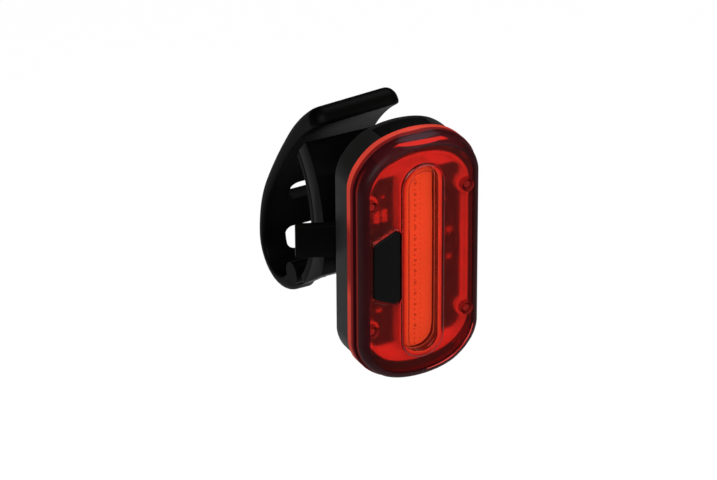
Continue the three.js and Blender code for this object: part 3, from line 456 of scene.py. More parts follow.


# The flange carries painted light and shade: painted light along its back and at its upper and lower ends, painted
# shade halfway up and on its front
def makeFlangeMaterial():
    material = makeThickMaterial("lensFlange", lensTint["flange"], 0.1, 0.42, 0.03)
    tree = material.node_tree
    place = addPlace(tree)
    middle = addBand(tree, place['Z'], *lensLook["shadeBand"], lensLook["shadeBandSoft"])
    front = addRamp(tree, place['Y'], *fromOrigin(lightOrigin.y, lensLook["front"]), 1, 0)
    colour = addMix(tree, middle, grainColour(material), lensTint["flangeShade"])
    feedShader(material, {'Base Color': addMix(tree, front, colour, lensTint["flangeFrontShade"])})
    return material


# The rim is in painted shade, with one painted highlight line along its side that ends below the crown
def makeRimMaterial():
    material = makeThickMaterial("lensRim", lensTint["rim"], 0.25, 0.42, 0.02)
    tree = material.node_tree
    place = addPlace(tree)
    line = addBand(tree, place['Y'], *fromOrigin(lightOrigin.y, lensLook["line"]), lensLook["lineSoft"])
    below = addRamp(tree, place['Z'], *fromOrigin(lightOrigin.z, lensLook["lineEnd"]), 1, 0)
    rimShade = grainColour(material)
    feedShader(material, {'Base Color': addMix(tree, below, rimShade, addMix(tree, line, rimShade, lensTint["rimHighlight"]))})
    return material


# Chips of the row beneath the phosphor: a column is its place across and how strongly it shows
chip = {"pitch": 0.00145, "radius": 0.00020, "fade": 1.7, "lowest": 20, "tint": (0.30, 0.06, 0.03),
        "columns": ((-0.0002, 0.5), (0.0014, 0.22))}


# Yellow phosphor with a faint dot over each chip
def makePhosphorMaterial():
    material = grainMaterial("phosphor", (0.92, 0.72, 0.44), (0.95, 0.76, 0.48), 0.5, 0.1, 600.0, 0.1)
    tree = material.node_tree
    place = addPlace(tree)
    raised = addMath(tree, 'ADD', place['Z'], chip["pitch"] * chip["lowest"])
    along = addMath(tree, 'PINGPONG', raised, chip["pitch"] / 2)
    colour = grainColour(material)
    for shift, strength in chip["columns"]:
        across = addMath(tree, 'SUBTRACT', place['X'], lightOrigin.x + shift)
        reach = addReach(tree, along, across)
        dot = addRamp(tree, reach, chip["radius"], chip["radius"] * chip["fade"], strength, 0)
        colour = addMix(tree, dot, colour, chip["tint"])
    feedShader(material, {'Base Color': colour})
    return material


# Solder joints on the lamp board, partly their own pale metal and partly a painted glint, in millimetres: (x, z,
# radius)
glintJoints = {"y": 3.0, "tint": (0.85, 0.55, 0.35), "strength": 0.8, "core": 0.2,
          "places": ((10.3, 4.5, 1.3), (10.3, -3.2, 1.2), (9.0, 13.6, 0.7), (-12.0, 17.0, 0.8), (-9.0, 18.6, 0.7))}


# Dark board with solder joints beside the driver chip, their pale colour raised into painted glints
def makeLampBoardMaterial():
    material = grainMaterial("lampBoard", *finishes["boardBlack"])
    tree = material.node_tree
    colour = grainColour(material)
    place = tree.nodes.new('ShaderNodeTexCoord')
    for x, z, radius in glintJoints["places"]:
        far = tree.nodes.new('ShaderNodeVectorMath')
        far.operation = 'DISTANCE'
        far.inputs[1].default_value = here(x, glintJoints["y"], z)
        feed(tree, far, {0: place.outputs['Object']})
        jointGlint = addRamp(tree, far.outputs['Value'], radius / 1000 * glintJoints["core"], radius / 1000,
                        glintJoints["strength"], 0)
        colour = addMix(tree, jointGlint, colour, glintJoints["tint"])
    feedShader(material, {'Base Color': colour})
    return material


# Colour, light colour, roughness and its spread, grain scale, bump, then gloss and metal where they differ
finishes = {
    "shellPlastic": ((0.009, 0.009, 0.0085), (0.013, 0.0125, 0.012), 0.46, 0.12, 3000.0, 0.25, 0.25),
    "buttonRubber": ((0.003, 0.003, 0.003), (0.0045, 0.0045, 0.0045), 0.55, 0.1, 2600.0, 0.2, 0.12),
    # Mount plastic and strap rubber are their own black with painted shade added, as the mount lies in shade behind
    # the light
    "mountPlastic": ((0.0015, 0.0015, 0.0014), (0.0026, 0.0025, 0.0023), 0.36, 0.12, 2800.0, 0.2, 0.07),
    "strapRubber": ((0.0012, 0.0012, 0.0011), (0.0022, 0.0021, 0.0019), 0.45, 0.12, 2600.0, 0.2, 0.05),
    "coverRubber": ((0.0015, 0.0015, 0.0015), (0.0024, 0.0024, 0.0023), 0.5, 0.1, 2600.0, 0.2, 0.08),
    "trayWhite": ((0.80, 0.78, 0.76), (0.88, 0.86, 0.84), 0.5, 0.1, 300.0, 0.1),
    # The tray's dark outer sides are painted shade
    "trayOutsideShade": ((0.05, 0.03, 0.03), (0.09, 0.05, 0.05), 0.6, 0.1, 900.0, 0.1),
    # The frame's dark red inner walls are painted shade
    "frameWallShade": ((0.09, 0.025, 0.02), (0.13, 0.035, 0.03), 0.4, 0.1, 900.0, 0.1, 0.1),
    "boardBlack": ((0.02, 0.015, 0.015), (0.035, 0.03, 0.03), 0.45, 0.1, 700.0, 0.1),
    "screwZinc": ((0.62, 0.62, 0.62), (0.72, 0.72, 0.72), 0.4, 0.15, 1800.0, 0.1, 0.5, 0.6),
    "smallParts": ((0.75, 0.68, 0.55), (0.9, 0.84, 0.72), 0.4, 0.1, 2500.0, 0.1),
    "cellFoil": ((0.62, 0.63, 0.65), (0.72, 0.72, 0.74), 0.35, 0.2, 500.0, 0.2, 0.5, 0.8),
    "foamTape": ((0.78, 0.74, 0.64), (0.86, 0.82, 0.72), 0.9, 0.1, 1500.0, 0.4),
    "plugNylon": ((0.78, 0.75, 0.68), (0.84, 0.82, 0.76), 0.5, 0.1, 900.0, 0.1),
    "leadRed": ((0.45, 0.03, 0.02), (0.55, 0.04, 0.03), 0.5, 0.1, 900.0, 0.1),
    "boardGreen": ((0.015, 0.07, 0.03), (0.025, 0.10, 0.04), 0.4, 0.1, 700.0, 0.1),
    "plungerBuff": ((0.55, 0.44, 0.25), (0.62, 0.5, 0.3), 0.45, 0.1, 900.0, 0.1),
}
finish = {name: grainMaterial(name, *values) for name, values in finishes.items()}
finish.update({
    "redLens": makeLensMaterial(), "lensCrown": makeCrownMaterial(), "lensFlange": makeFlangeMaterial(),
    "lensRim": makeRimMaterial(), "phosphor": makePhosphorMaterial(), "lampBoard": makeLampBoardMaterial(),
    "lensPost": makeThickMaterial("lensPost", lensTint["post"], 0.2, 0.5, 0.05),
    "lensCrest": makeThickMaterial("lensCrest", lensTint["crest"], 0.8, 0.2, 0.08),
})
print("materials are made")


# Outline of the light

outline = {"halfWidth": 17.5, "sideZ": 25.1, "sideRadius": 9.5, "shoulderX": 12.5, "shoulderZ": 31.6,
           "shoulderRadius": 13, "peakZ": 36.8, "crownRadius": 23}


# Corners of the outline, moved outwards by growth
def bodyCorners(growth):
    w, sideZ = outline["halfWidth"], outline["sideZ"]
    shoulder = (outline["shoulderX"], outline["shoulderZ"], outline["shoulderRadius"])
    right = [(w, -sideZ, outline["sideRadius"]), (w, sideZ, outline["sideRadius"]), shoulder,
             (0, outline["peakZ"], outline["crownRadius"])]
    left = [(-shoulder[0], shoulder[1], shoulder[2]), (-w, sideZ, outline["sideRadius"]),
            (-w, -sideZ, outline["sideRadius"]), (-shoulder[0], -shoulder[1], shoulder[2]),
            (0, -outline["peakZ"], outline["crownRadius"]), (shoulder[0], -shoulder[1], shoulder[2])]
    return grow(right + left, growth)


def grow(corners, growth):
    moved = []
    for index, (x, z, radius) in enumerate(corners):
        point = Vector((x, z))
        before = (point - Vector(corners[index - 1][:2])).normalized()
        after = (Vector(corners[(index + 1) % len(corners)][:2]) - point).normalized()
        outBefore = Vector((before.y, -before.x))
        outAfter = Vector((after.y, -after.x))
        bisector = (outBefore + outAfter).normalized()
        point += bisector * (growth / bisector.dot(outBefore))
        moved.append((point.x, point.y, max(radius + growth, 0.2)))
    return moved


# Upright slot shape of the lamp window
def stadium(radius, y):
    half = window["halfLength"]
    bm = bmesh.new()
    turn = radius * 0.999
    corners = [(radius, -half - radius, turn), (radius, half + radius, turn), (-radius, half + radius, turn),
               (-radius, -half - radius, turn)]
    return bm, roundedFace(bm, corners, y, 16)


window = {"halfLength": 21.8, "ringOuter": 6.3, "recess": 4.2, "floorY": -1.9}
button = {"inner": -6.5, "outer": -14.2, "longHalf": 11.2, "shortHalf": 7.9, "radius": 1.6, "frontY": -2.75,
          "backY": -0.15, "edge": 0.5, "gap": 0.3}


def buttonCorners(growth):
    ends = [("inner", "longHalf", -1), ("inner", "longHalf", 1), ("outer", "shortHalf", 1), ("outer", "shortHalf", -1)]
    return grow([(button[x], side * button[half], button["radius"]) for x, half, side in ends], growth)


# Lens

lens = {"flange": 0.6, "flangeFrontY": 1.9, "backY": 4.8, "rimY": 0.0, "faceY": -2.4, "edge": 2.5, "wall": 1.7,
        "cavityY": -0.8, "cavityEdge": 0.9, "flangeRound": 0.3, "step": 0.15, "stepDepth": 0.02, "sunk": 0.3}
ring = {"edge": 0.85, "edgeHeight": 0.6, "recessEdge": 0.35}
lip = {"margin": 0.7, "height": 0.4, "edge": 0.15}


def outerCup():
    bm = bmesh.new()
    back = roundedFace(bm, bodyCorners(lens["flange"]), lens["backY"], 12)
    front = push(bm, back, 0, lens["flangeFrontY"] + lens["flangeRound"] - lens["backY"])
    front = pushRound(bm, front, lens["flangeRound"], -lens["flangeRound"], 3)
    front = push(bm, front, lens["flange"] - lens["flangeRound"] + lens["step"], lens["stepDepth"])
    front = push(bm, front, 0, lens["rimY"] - lens["flangeFrontY"])
    front = pushRound(bm, front, lens["edge"], lens["faceY"] - lens["rimY"], 10)
    return bm


# The hollow of the lens, as a solid that is cut away
def innerCup():
    bm = bmesh.new()
    back = roundedFace(bm, bodyCorners(-lens["wall"]), lens["backY"] + 1, 12)
    front = push(bm, back, 0, lens["cavityY"] + lens["cavityEdge"] - lens["backY"] - 1)
    pushRound(bm, front, lens["cavityEdge"], -lens["cavityEdge"], 5)
    hollow = objectFrom(bm, "hollow")
    return combine(hollow, [scoopTool(lens["wall"])], 'DIFFERENCE')


def makeLens():
    made = objectFrom(outerCup(), "lens")
    sunkY = lens["faceY"] + lens["sunk"]
    ringTool, face = stadium(window["ringOuter"], sunkY)
    face = push(ringTool, face, 0, ringFrontY + ring["edgeHeight"] - sunkY)
    pushRound(ringTool, face, ring["edge"], -ring["edgeHeight"], 6)
    lipTool = bmesh.new()
    face = roundedFace(lipTool, buttonCorners(lip["margin"]), sunkY, 8)
    face = push(lipTool, face, 0, -lip["height"])
    pushRound(lipTool, face, lip["edge"], -lip["edge"], 3)
    combine(made, [ringTool, lipTool], 'UNION')
    recessTool, face = stadium(window["recess"], window["floorY"])
    face = pushRound(recessTool, face, -ring["recessEdge"], -ring["recessEdge"], 4, True)
    push(recessTool, face, 0, ringFrontY - window["floorY"])
    buttonTool = bmesh.new()
    face = roundedFace(buttonTool, buttonCorners(button["gap"]), 0.5, 8)
    push(buttonTool, face, 0, ringFrontY - 1.5)
    combine(made, [recessTool, buttonTool, scoopTool(0)], 'DIFFERENCE')
    combineObject(made, innerCup(), 'DIFFERENCE')
    posts = [rod(screw["post"], lens["backY"] + 1, 'y', (x, (lens["backY"] - 1) / 2, z), 40) for x, z in screwPlaces]
    combine(made, posts, 'UNION')
    pilots = [rod(screw["pilot"], 6, 'y', (x, lens["backY"] - screw["pilotDepth"] + 3, z), 32) for x, z in screwPlaces]
    return combine(made, pilots, 'DIFFERENCE')


screw = {"x": 13.9, "z": 18.0, "post": 1.75, "pilot": 0.95, "pilotDepth": 4.2}
screwPlaces = [(x, z) for x in (-screw["x"], screw["x"]) for z in (-screw["z"], screw["z"])]
scoop = {"radius": 80.0, "topZ": 34.6, "bottomZ": 32.7}


def scoopTool(depth):
    slope = math.atan2(scoop["topZ"] - scoop["bottomZ"], lens["flangeFrontY"] - lens["faceY"])
    bm = rod(scoop["radius"] + depth, 60, 'y', (0, 0, scoop["radius"]), 480)
    bmesh.ops.rotate(bm, verts=bm.verts[:], cent=(0, 0, 0), matrix=Matrix.Rotation(slope, 3, 'X'))
    bmesh.ops.translate(bm, verts=bm.verts[:], vec=(0, lens["flangeFrontY"], scoop["topZ"]))
    return bm


# The zones of the lens lie by their distance from the upright middle line of the light
edgeZone = {"halfLength": 17.4, "rim": 15.1, "flange": 16.8, "wall": 14.4, "near": 0.05}
crownZone = {"lowZ": 29.5, "halfX": 12.5, "belowFace": 0.15}


def fromMiddle(place, halfLength=edgeZone["halfLength"]):
    return math.hypot(place.x, max(abs(place.z) - halfLength, 0))


def inFlange(place, normal):
    behind = place.y > lens["flangeFrontY"] - edgeZone["near"]
    return behind and fromMiddle(place) > edgeZone["flange"] and normal.y > -0.75


def inCrown(place, normal):
    frontY, backY = lens["faceY"] + crownZone["belowFace"], lens["flangeFrontY"] + edgeZone["near"]
    return (place.z > crownZone["lowZ"] and abs(place.x) < crownZone["halfX"] and frontY < place.y < backY
            and normal.y < 0.02 and normal.y - normal.z < -0.2)


def inRim(place, normal):
    reach, near = fromMiddle(place), edgeZone["near"]
    onSide = lens["faceY"] + 0.04 < place.y < lens["flangeFrontY"] + near
    wallInside = place.y > lens["cavityY"] - near and reach > edgeZone["wall"] and abs(normal.y) < 0.97
    return (onSide and reach > edgeZone["rim"] and normal.y < 0.02) or wallInside


def inCrest(place, normal):
    reach = fromMiddle(place, window["halfLength"])
    onRing = place.y < window["floorY"] + edgeZone["near"] and reach < window["ringOuter"] + 0.1
    onLip = place.y < lens["faceY"] - 0.02 and button["outer"] - 1 < place.x < button["inner"] + 1
    return (onRing or onLip) and -0.96 < normal.y < 0.3


def onPost(place, normal):
    return place.y > lens["cavityY"] + 0.02 and any(
        math.hypot(place.x - x, place.z - z) < screw["post"] + 0.1 for x, z in screwPlaces)


finishPiece(makeLens(), finish["redLens"], baseBody, ["front_lens"], 30, [
    (finish["lensPost"], onPost), (finish["lensFlange"], inFlange), (finish["lensCrown"], inCrown),
    (finish["lensRim"], inRim), (finish["lensCrest"], inCrest)])
print("lens is made")


# Shell

shell = {"frontY": 4.8, "backY": 13.1, "wall": 2.2, "floor": 1.5, "edge": 1.2}
cover = {"halfWidth": 7.6, "frontY": 5.5, "backY": 10.9, "recess": 1.05, "lowZ": 20,
         "room": (0, 20, 20, 50), "gap": 0.15, "edge": 0.25}
plug = {"halfWidth": 4.3, "frontY": 6.15, "backY": 9.05, "radius": 1.3, "topZ": 32.35, "length": 2}


def makeShell():
    bm = bmesh.new()
    front = roundedFace(bm, bodyCorners(0), shell["frontY"], 12)
    back = push(bm, front, 0, shell["backY"] - shell["edge"] - shell["frontY"])
    pushRound(bm, back, shell["edge"], shell["edge"], 5)
    bm.faces.ensure_lookup_table()
    mouth = min(bm.faces, key=lambda face: (round(face.calc_center_median().y, 3), -len(face.verts)))
    inner = push(bm, mouth, shell["wall"], 0)
    push(bm, inner, 0, shell["backY"] - shell["floor"] - shell["frontY"])
    made = objectFrom(bm, "shell")
    pocket = bmesh.new()
    face = roundedFace(pocket, bodyCorners(2), cover["frontY"], 12)
    push(pocket, face, 0, cover["backY"] - cover["frontY"])
    bmesh.ops.bisect_plane(pocket, geom=pocket.verts[:] + pocket.edges[:] + pocket.faces[:],
                           plane_co=(0, 0, cover["lowZ"]), plane_no=(0, 0, 1), clear_inner=True)
    bmesh.ops.holes_fill(pocket, edges=pocket.edges[:])
    pocketObject = objectFrom(pocket, "pocket")
    core = bmesh.new()
    face = roundedFace(core, bodyCorners(-cover["recess"]), cover["frontY"] - 1, 12)
    push(core, face, 0, cover["backY"] - cover["frontY"] + 2)
    combine(pocketObject, [core], 'DIFFERENCE')
    combine(pocketObject, [block(-cover["halfWidth"], cover["halfWidth"], 0, 20, 0, 50)], 'INTERSECT')
    return combineObject(made, pocketObject, 'DIFFERENCE')


finishPiece(makeShell(), finish["shellPlastic"], baseBody, ["rear_shell"], 30)
print("shell is made")


# White tray round the lamp

tray = {"frontY": -0.5, "rimY": 0.75, "floorY": 2.2, "backY": 3.0, "inset": 3.6, "wall": 0.8, "shorter": 2.0,
        "roomHalfX": 13.3, "roomHalfZ": 24.35, "roomRadius": 3.0, "frameInner": 4.7, "frameOuter": 6.05,
        "frameStep": 0.17, "stepDepth": 1.3, "openingDepth": 5, "postGap": 0.08}
collar = {"wall": 0.8, "length": 1.8, "middleY": 1.9}
traySide = {"reach": 12.0, "slant": 0.6}


# A plate with the light's outline, which can be shorter at each end
def bodyPlate(growth, backY, frontY, shorter=0.0):
    bm = bmesh.new()
    corners = [(x, z - math.copysign(shorter, z), radius) for x, z, radius in bodyCorners(growth)]
    push(bm, roundedFace(bm, corners, backY, 10), 0, frontY - backY)
    return bm


def makeTray():
    made = objectFrom(bodyPlate(tray["wall"] - tray["inset"], tray["backY"], tray["rimY"], tray["shorter"]), "tray")
    x, z, radius = tray["roomHalfX"], tray["roomHalfZ"], tray["roomRadius"]
    room = bmesh.new()
    corners = [(x, -z, radius), (x, z, radius), (-x, z, radius), (-x, -z, radius)]
    push(room, roundedFace(room, corners, tray["backY"] + 1, 8), 0, -6)
    combine(made, [bodyPlate(-tray["inset"], tray["floorY"], -2, tray["shorter"]), room], 'DIFFERENCE')
    frameBlock, face = stadium(tray["frameOuter"], tray["backY"])
    push(frameBlock, face, 0, tray["frontY"] - tray["backY"])
    collars = [rod(screw["post"] + collar["wall"], collar["length"], 'y', (x, collar["middleY"], z), 40)
               for x, z in screwPlaces]
    combine(made, [frameBlock, *collars], 'UNION')
    openings = []
    for number in range(3):
        opening, face = stadium(tray["frameInner"] + number * tray["frameStep"],
                                tray["backY"] + 0.5 - number * tray["stepDepth"])
        push(opening, face, 0, -tray["openingDepth"])
        openings.append(opening)
    notches = [rod(screw["post"] + tray["postGap"], 8, 'y', (x, 2, z), 40) for x, z in screwPlaces]
    return combine(made, [*openings, *notches, bodyMargin()], 'DIFFERENCE')


# Everything outside the tray's outline, which trims the collars
def bodyMargin():
    margin = objectFrom(block(-30, 30, -2, 6, -50, 50), "margin")
    combine(margin, [bodyPlate(tray["wall"] - tray["inset"], 8, -4, tray["shorter"])], 'DIFFERENCE')
    made = bmesh.new()
    made.from_mesh(margin.data)
    bpy.data.objects.remove(margin)
    return made


# The tray's outer sides, which carry the painted shade
def onTrayOutside(place, normal):
    outward = Vector((place.x, 0, max(abs(place.z) - edgeZone["halfLength"], 0) * math.copysign(1, place.z)))
    return fromMiddle(place) > traySide["reach"] and normal.dot(outward.normalized()) > traySide["slant"]


# The lamp frame's inner walls, which carry the painted shade
def onFrameInside(place, normal):
    return fromMiddle(place, window["halfLength"]) < tray["frameInner"] + 0.4 and abs(normal.y) < 0.5


finishPiece(makeTray(), finish["trayWhite"], baseBody, ["reflector_tray"], 40,
            [(finish["trayOutsideShade"], onTrayOutside), (finish["frameWallShade"], onFrameInside)])
print("tray is made")


# Rubber cover of the charging socket

def makeCover():
    gap = cover["gap"]
    made = objectFrom(bodyPlate(-gap, cover["backY"] - gap, cover["frontY"] + gap), "cover")
    half = cover["halfWidth"] - gap
    combine(made, [block(-half, half, *cover["room"])], 'INTERSECT')
    combine(made, [bodyPlate(gap - cover["recess"], 20, 0)], 'DIFFERENCE')
    x, low, high, radius = plug["halfWidth"], plug["frontY"], plug["backY"], plug["radius"]
    bm = bmesh.new()
    face = roundedFace(bm, [(x, low, radius), (x, high, radius), (-x, high, radius), (-x, low, radius)], 0, 6)
    push(bm, face, 0, plug["length"])
    bmesh.ops.rotate(bm, verts=bm.verts[:], cent=(0, 0, 0), matrix=Matrix.Rotation(math.pi / 2, 3, 'X'))
    bmesh.ops.scale(bm, verts=bm.verts[:], vec=(1, -1, 1))
    bmesh.ops.translate(bm, verts=bm.verts[:], vec=(0, 0, plug["topZ"]))
    combine(made, [bm], 'UNION')
    return soften(made, cover["edge"], 3, 40)


finishPiece(makeCover(), finish["coverRubber"], "socket_cover", ["charging_cover"], 40)
print("cover is made")


# Power button

def makeButton():
    bm = bmesh.new()
    back = roundedFace(bm, buttonCorners(0), button["backY"], 8)
    front = push(bm, back, 0, button["frontY"] + button["edge"] - button["backY"])
    pushRound(bm, front, button["edge"], -button["edge"], 5)
    return objectFrom(bm, "button")


finishPiece(makeButton(), finish["buttonRubber"], "button", ["power_button"], 40)


# Ladder strap: a flat slab with its openings, bent along its path

strap = {"halfWidth": 13.0, "halfThickness": 2.2, "opening": 6.0, "openingHalf": 3.8, "pitch": 17.3, "root": 4.4,
         "twist": 3.5, "eyeY": 47.0, "eyeZ": -23.5, "eyeRadius": 3.1, "corner": 2.1,
         "outerEdge": 3.0, "innerEdge": 0.8, "openingEdge": 0.45, "tipRadius": 4.0, "thicker": 0.2, "cuts": 84,
         "startY": 48.16, "startZ": -25.93, "startAngle": -55.8, "length": 86.4, "rootSlot": (40, 50.6, -34, -18),
         "bends": [(0.0638, 36.6), (0.2235, 108.9), (0.2102, 31.1), (0.2676, 8.2), (0.2349, 20.5)]}


# Place and direction on the strap's middle line, which is a row of arcs
def strapPlace(distance):
    y, z, angle, rest = strap["startY"], strap["startZ"], math.radians(strap["startAngle"]), distance
    for share, turn in strap["bends"]:
        length = strap["length"] * share
        radius = length / math.radians(turn)
        run = min(rest, length)
        end = angle + run / radius
        y += radius * (math.sin(end) - math.sin(angle))
        z += radius * (math.cos(angle) - math.cos(end))
        angle = end
        rest -= run
    return Vector((y, z)), Vector((math.cos(angle), math.sin(angle)))


# The strap before it is bent: X across, Y out from the tube, Z along
def flatStrap(length):
    flat = bmesh.new()
    w, t, tip = strap["halfWidth"], strap["halfThickness"], strap["tipRadius"]
    outer = roundedFace(flat, [(w, 0, 0.01), (w, length, tip), (-w, length, tip), (-w, 0, 0.01)], t, 8)
    push(flat, outer, 0, -2 * t)
    bmesh.ops.recalc_face_normals(flat, faces=flat.faces[:])
    for y, width, segments in ((t, strap["outerEdge"], 8), (-t, strap["innerEdge"], 3)):
        rim = [edge for edge in flat.edges if all(abs(vert.co.y - y) < 0.001 for vert in edge.verts)
               and any(vert.co.z > 0.1 for vert in edge.verts)]
        bmesh.ops.bevel(flat, geom=rim, offset=width, offset_type='OFFSET', segments=segments, profile=0.5,
                        material=-1, affect='EDGES')
    return objectFrom(flat, "strap")


def openingTool(middle, half, start=None):
    x, reach, radius = strap["opening"], 3 * strap["halfThickness"], strap["corner"]
    low, high = middle - half if start is None else start, middle + half
    tool = bmesh.new()
    face = roundedFace(tool, [(x, low, radius), (x, high, radius), (-x, high, radius), (-x, low, radius)], reach, 8)
    push(tool, face, 0, -2 * reach)
    return tool


def makeStrap():
    length = strap["length"]
    made = flatStrap(length)
    half = strap["openingHalf"]
    tools = [openingTool(strap["root"] + step * strap["pitch"], half) for step in (1, 2, 3)]
    tools.append(openingTool(strap["root"], half, -6))
    combine(made, tools, 'DIFFERENCE')
    bent = bmesh.new()
    bent.from_mesh(made.data)
    inside = strap["opening"] + 0.01
    rims = [edge for edge in bent.edges if len(edge.link_faces) == 2 and edge.calc_face_angle() > 0.9
            and all(abs(vert.co.x) < inside for vert in edge.verts)]
    bmesh.ops.bevel(bent, geom=rims, offset=strap["openingEdge"], offset_type='OFFSET', segments=3, profile=0.5,
                    material=-1, affect='EDGES')
    for cut in range(1, strap["cuts"]):
        everything = bent.verts[:] + bent.edges[:] + bent.faces[:]
        bmesh.ops.bisect_plane(bent, geom=everything, dist=0.0001, plane_co=(0, 0, length * cut / strap["cuts"]),
                               plane_no=(0, 0, 1))
    for vert in bent.verts:
        x, out, along = vert.co
        share = along / length
        at, way = strapPlace(along)
        side = Vector((way.y, -way.x))
        thick = 1 + strap["thicker"] * share ** 3
        local = Vector((x, 0, 0)) + Vector((0, side.x, side.y)) * (out * thick)
        local.rotate(Matrix.Rotation(math.radians(-strap["twist"]) * share, 3, 'Y'))
        vert.co = local + Vector((0, at.x, at.y))
    bent.to_mesh(made.data)
    bent.free()
    eye = rod(strap["eyeRadius"], strap["halfWidth"] * 2, 'x', (0, strap["eyeY"], strap["eyeZ"]))
    combine(made, [eye], 'UNION')
    return combine(made, [block(-strap["opening"], strap["opening"], *strap["rootSlot"])], 'DIFFERENCE')


finishPiece(makeStrap(), finish["strapRubber"], "strap", ["ladder_strap"], 45)
print("strap is made")


# Saddle and its rubber liner, with room for the rail

lever = {"pivotX": -11.2, "pivotY": 17.6, "tipX": -23.7, "tipY": 23.2, "thickness": 2.4, "halfHeight": 4.5,
         "knuckle": 1.5, "edge": 0.5}
ears = {"margin": 1.75, "rootX": -8.3, "gap": 0.3, "thickness": 1.8}
saddle = {"halfWidth": 13.0, "neck": 8.6, "neckY": 14.8, "radius": 26.0, "deepestY": 35.2, "centreZ": -4.6,
          "liner": 2.2, "plate": 5.6, "top": 46, "bottom": -44, "neckHalfHeight": 10.5, "neckShare": 0.55,
          "edge": 0.5}
lugs = {"places": (-5.7, 3.1), "thickness": 2.6, "from": -108, "turn": 198, "steps": 18,
        "root": (34.5, -16.7), "foot": [(38.8, -17), (34.5, -13)]}
hook = {"halfWidth": 4.2, "profile": [(31, -3), (33.4, -3), (33.4, 6.9), (26.5, 8.6), (26.5, 6.2), (31, 4.5)]}
legRoom = {"x": 9.85, "width": 8, "gap": 0.3}
# Wedges cut from the saddle's lower side, each a (y, z) profile with its half width
wedges = [([(20, -64), (47.5, -64), (47.5, -28.9), (20, -9.3)], 14),
          ([(33.6, -64), (47.5, -64), (47.5, -25.7), (33.6, -15.8)], 10)]
# Boxes cut from the saddle for the rail's neck and head and for the lever
saddleCuts = [(-3.9, 3.9, 13.8, 17.1, -12, 9), (-5.9, 5.9, 15.9, 17.9, -12, 9), (-13, -3.6, 13.8, 22.4, -4.8, 4.8)]
liner = {"lowShare": 0.93, "highShare": 0.98, "edge": 0.4, "slot": (-6, 6, 17, 47, -35, -12.7)}


def saddleArc(radius, start, end, steps=28):
    centreY = saddle["deepestY"] + saddle["radius"]
    points = []
    for step in range(steps + 1):
        angle = math.radians(start + (end - start) * step / steps)
        points.append((centreY - radius * math.cos(angle), saddle["centreZ"] + radius * math.sin(angle)))
    return points


def strapLugs():
    arc = [(strap["eyeY"] + strap["eyeRadius"] * math.cos(angle), strap["eyeZ"] + strap["eyeRadius"] * math.sin(angle))
           for angle in (math.radians(lugs["from"] + lugs["turn"] * step / lugs["steps"])
                         for step in range(lugs["steps"] + 1))]
    profile = [lugs["root"], *arc, *lugs["foot"]]
    return [slab(profile, low, low + lugs["thickness"]) for low in lugs["places"]]


def hookBar():
    profile = [(y, saddle["neckHalfHeight"] + z) for y, z in hook["profile"]]
    return slab(profile, -hook["halfWidth"], hook["halfWidth"])


def leverEars():
    x, y, root, margin = lever["pivotX"], lever["pivotY"], ears["rootX"], ears["margin"]
    profile = [(x - margin, y - margin), (root, y - margin), (root, y + 2 * margin), (x - margin, y + margin)]
    z, thickness = lever["halfHeight"] + ears["gap"], ears["thickness"]
    return [slab(profile, low, low + thickness, 'z') for low in (-z - thickness, z)]


def makeSaddle():
    inner = saddle["radius"] + saddle["liner"] + 0.05
    outer = inner + saddle["plate"]
    plate = saddleArc(inner, saddle["bottom"], saddle["top"]) + saddleArc(outer, saddle["top"], saddle["bottom"])
    made = objectFrom(slab(plate, -saddle["halfWidth"], saddle["halfWidth"]), "saddle")
    share = saddle["neckShare"]
    neckArc = saddleArc(inner + saddle["plate"] / 2, saddle["bottom"] * share, saddle["top"] * share, 12)
    z = saddle["neckHalfHeight"]
    neck = slab([(saddle["neckY"], -z)] + neckArc + [(saddle["neckY"], z)], -saddle["neck"], saddle["neck"])
    combine(made, [neck, hookBar()], 'UNION')
    lower = [slab(profile, -half, half) for profile, half in wedges]
    combine(made, [*lower, *(block(*sides) for sides in saddleCuts)], 'DIFFERENCE')
    combine(made, strapLugs() + leverEars(), 'UNION')
    legRooms = [rod(strap["eyeRadius"] + legRoom["gap"], legRoom["width"], 'x', (x, strap["eyeY"], strap["eyeZ"]))
                for x in (-legRoom["x"], legRoom["x"])]
    combine(made, legRooms, 'DIFFERENCE')
    return soften(made, saddle["edge"], 3, 30)


finishPiece(makeSaddle(), finish["mountPlastic"], baseBody, ["saddle_base"], 40)


def makeLiner():
    low, high = saddle["bottom"] * liner["lowShare"], saddle["top"] * liner["highShare"]
    profile = saddleArc(saddle["radius"], low, high) + saddleArc(saddle["radius"] + saddle["liner"], high, low)
    made = objectFrom(slab(profile, -saddle["halfWidth"], saddle["halfWidth"]), "liner")
    combine(made, [block(*liner["slot"])], 'DIFFERENCE')
    return soften(made, liner["edge"], 3, 30)


finishPiece(makeLiner(), finish["coverRubber"], baseBody, ["saddle_liner"], 40)


# Release lever

def makeLever():
    pivot = Vector((lever["pivotX"], lever["pivotY"]))
    tip = Vector((lever["tipX"], lever["tipY"]))
    along = (tip - pivot).normalized()
    across = Vector((-along.y, along.x)) * lever["thickness"] / 2
    corners = [tip + across, pivot + across, pivot - across, tip - across]
    made = objectFrom(slab([tuple(c) for c in corners], -lever["halfHeight"], lever["halfHeight"], 'z'), "lever")
    combine(made, [rod(lever["knuckle"], lever["halfHeight"] * 2, 'z', (*pivot, 0))], 'UNION')
    return soften(made, lever["edge"], 3, 30)


finishPiece(makeLever(), finish["mountPlastic"], "lever", ["release_lever"], 40)
print("mount is made")


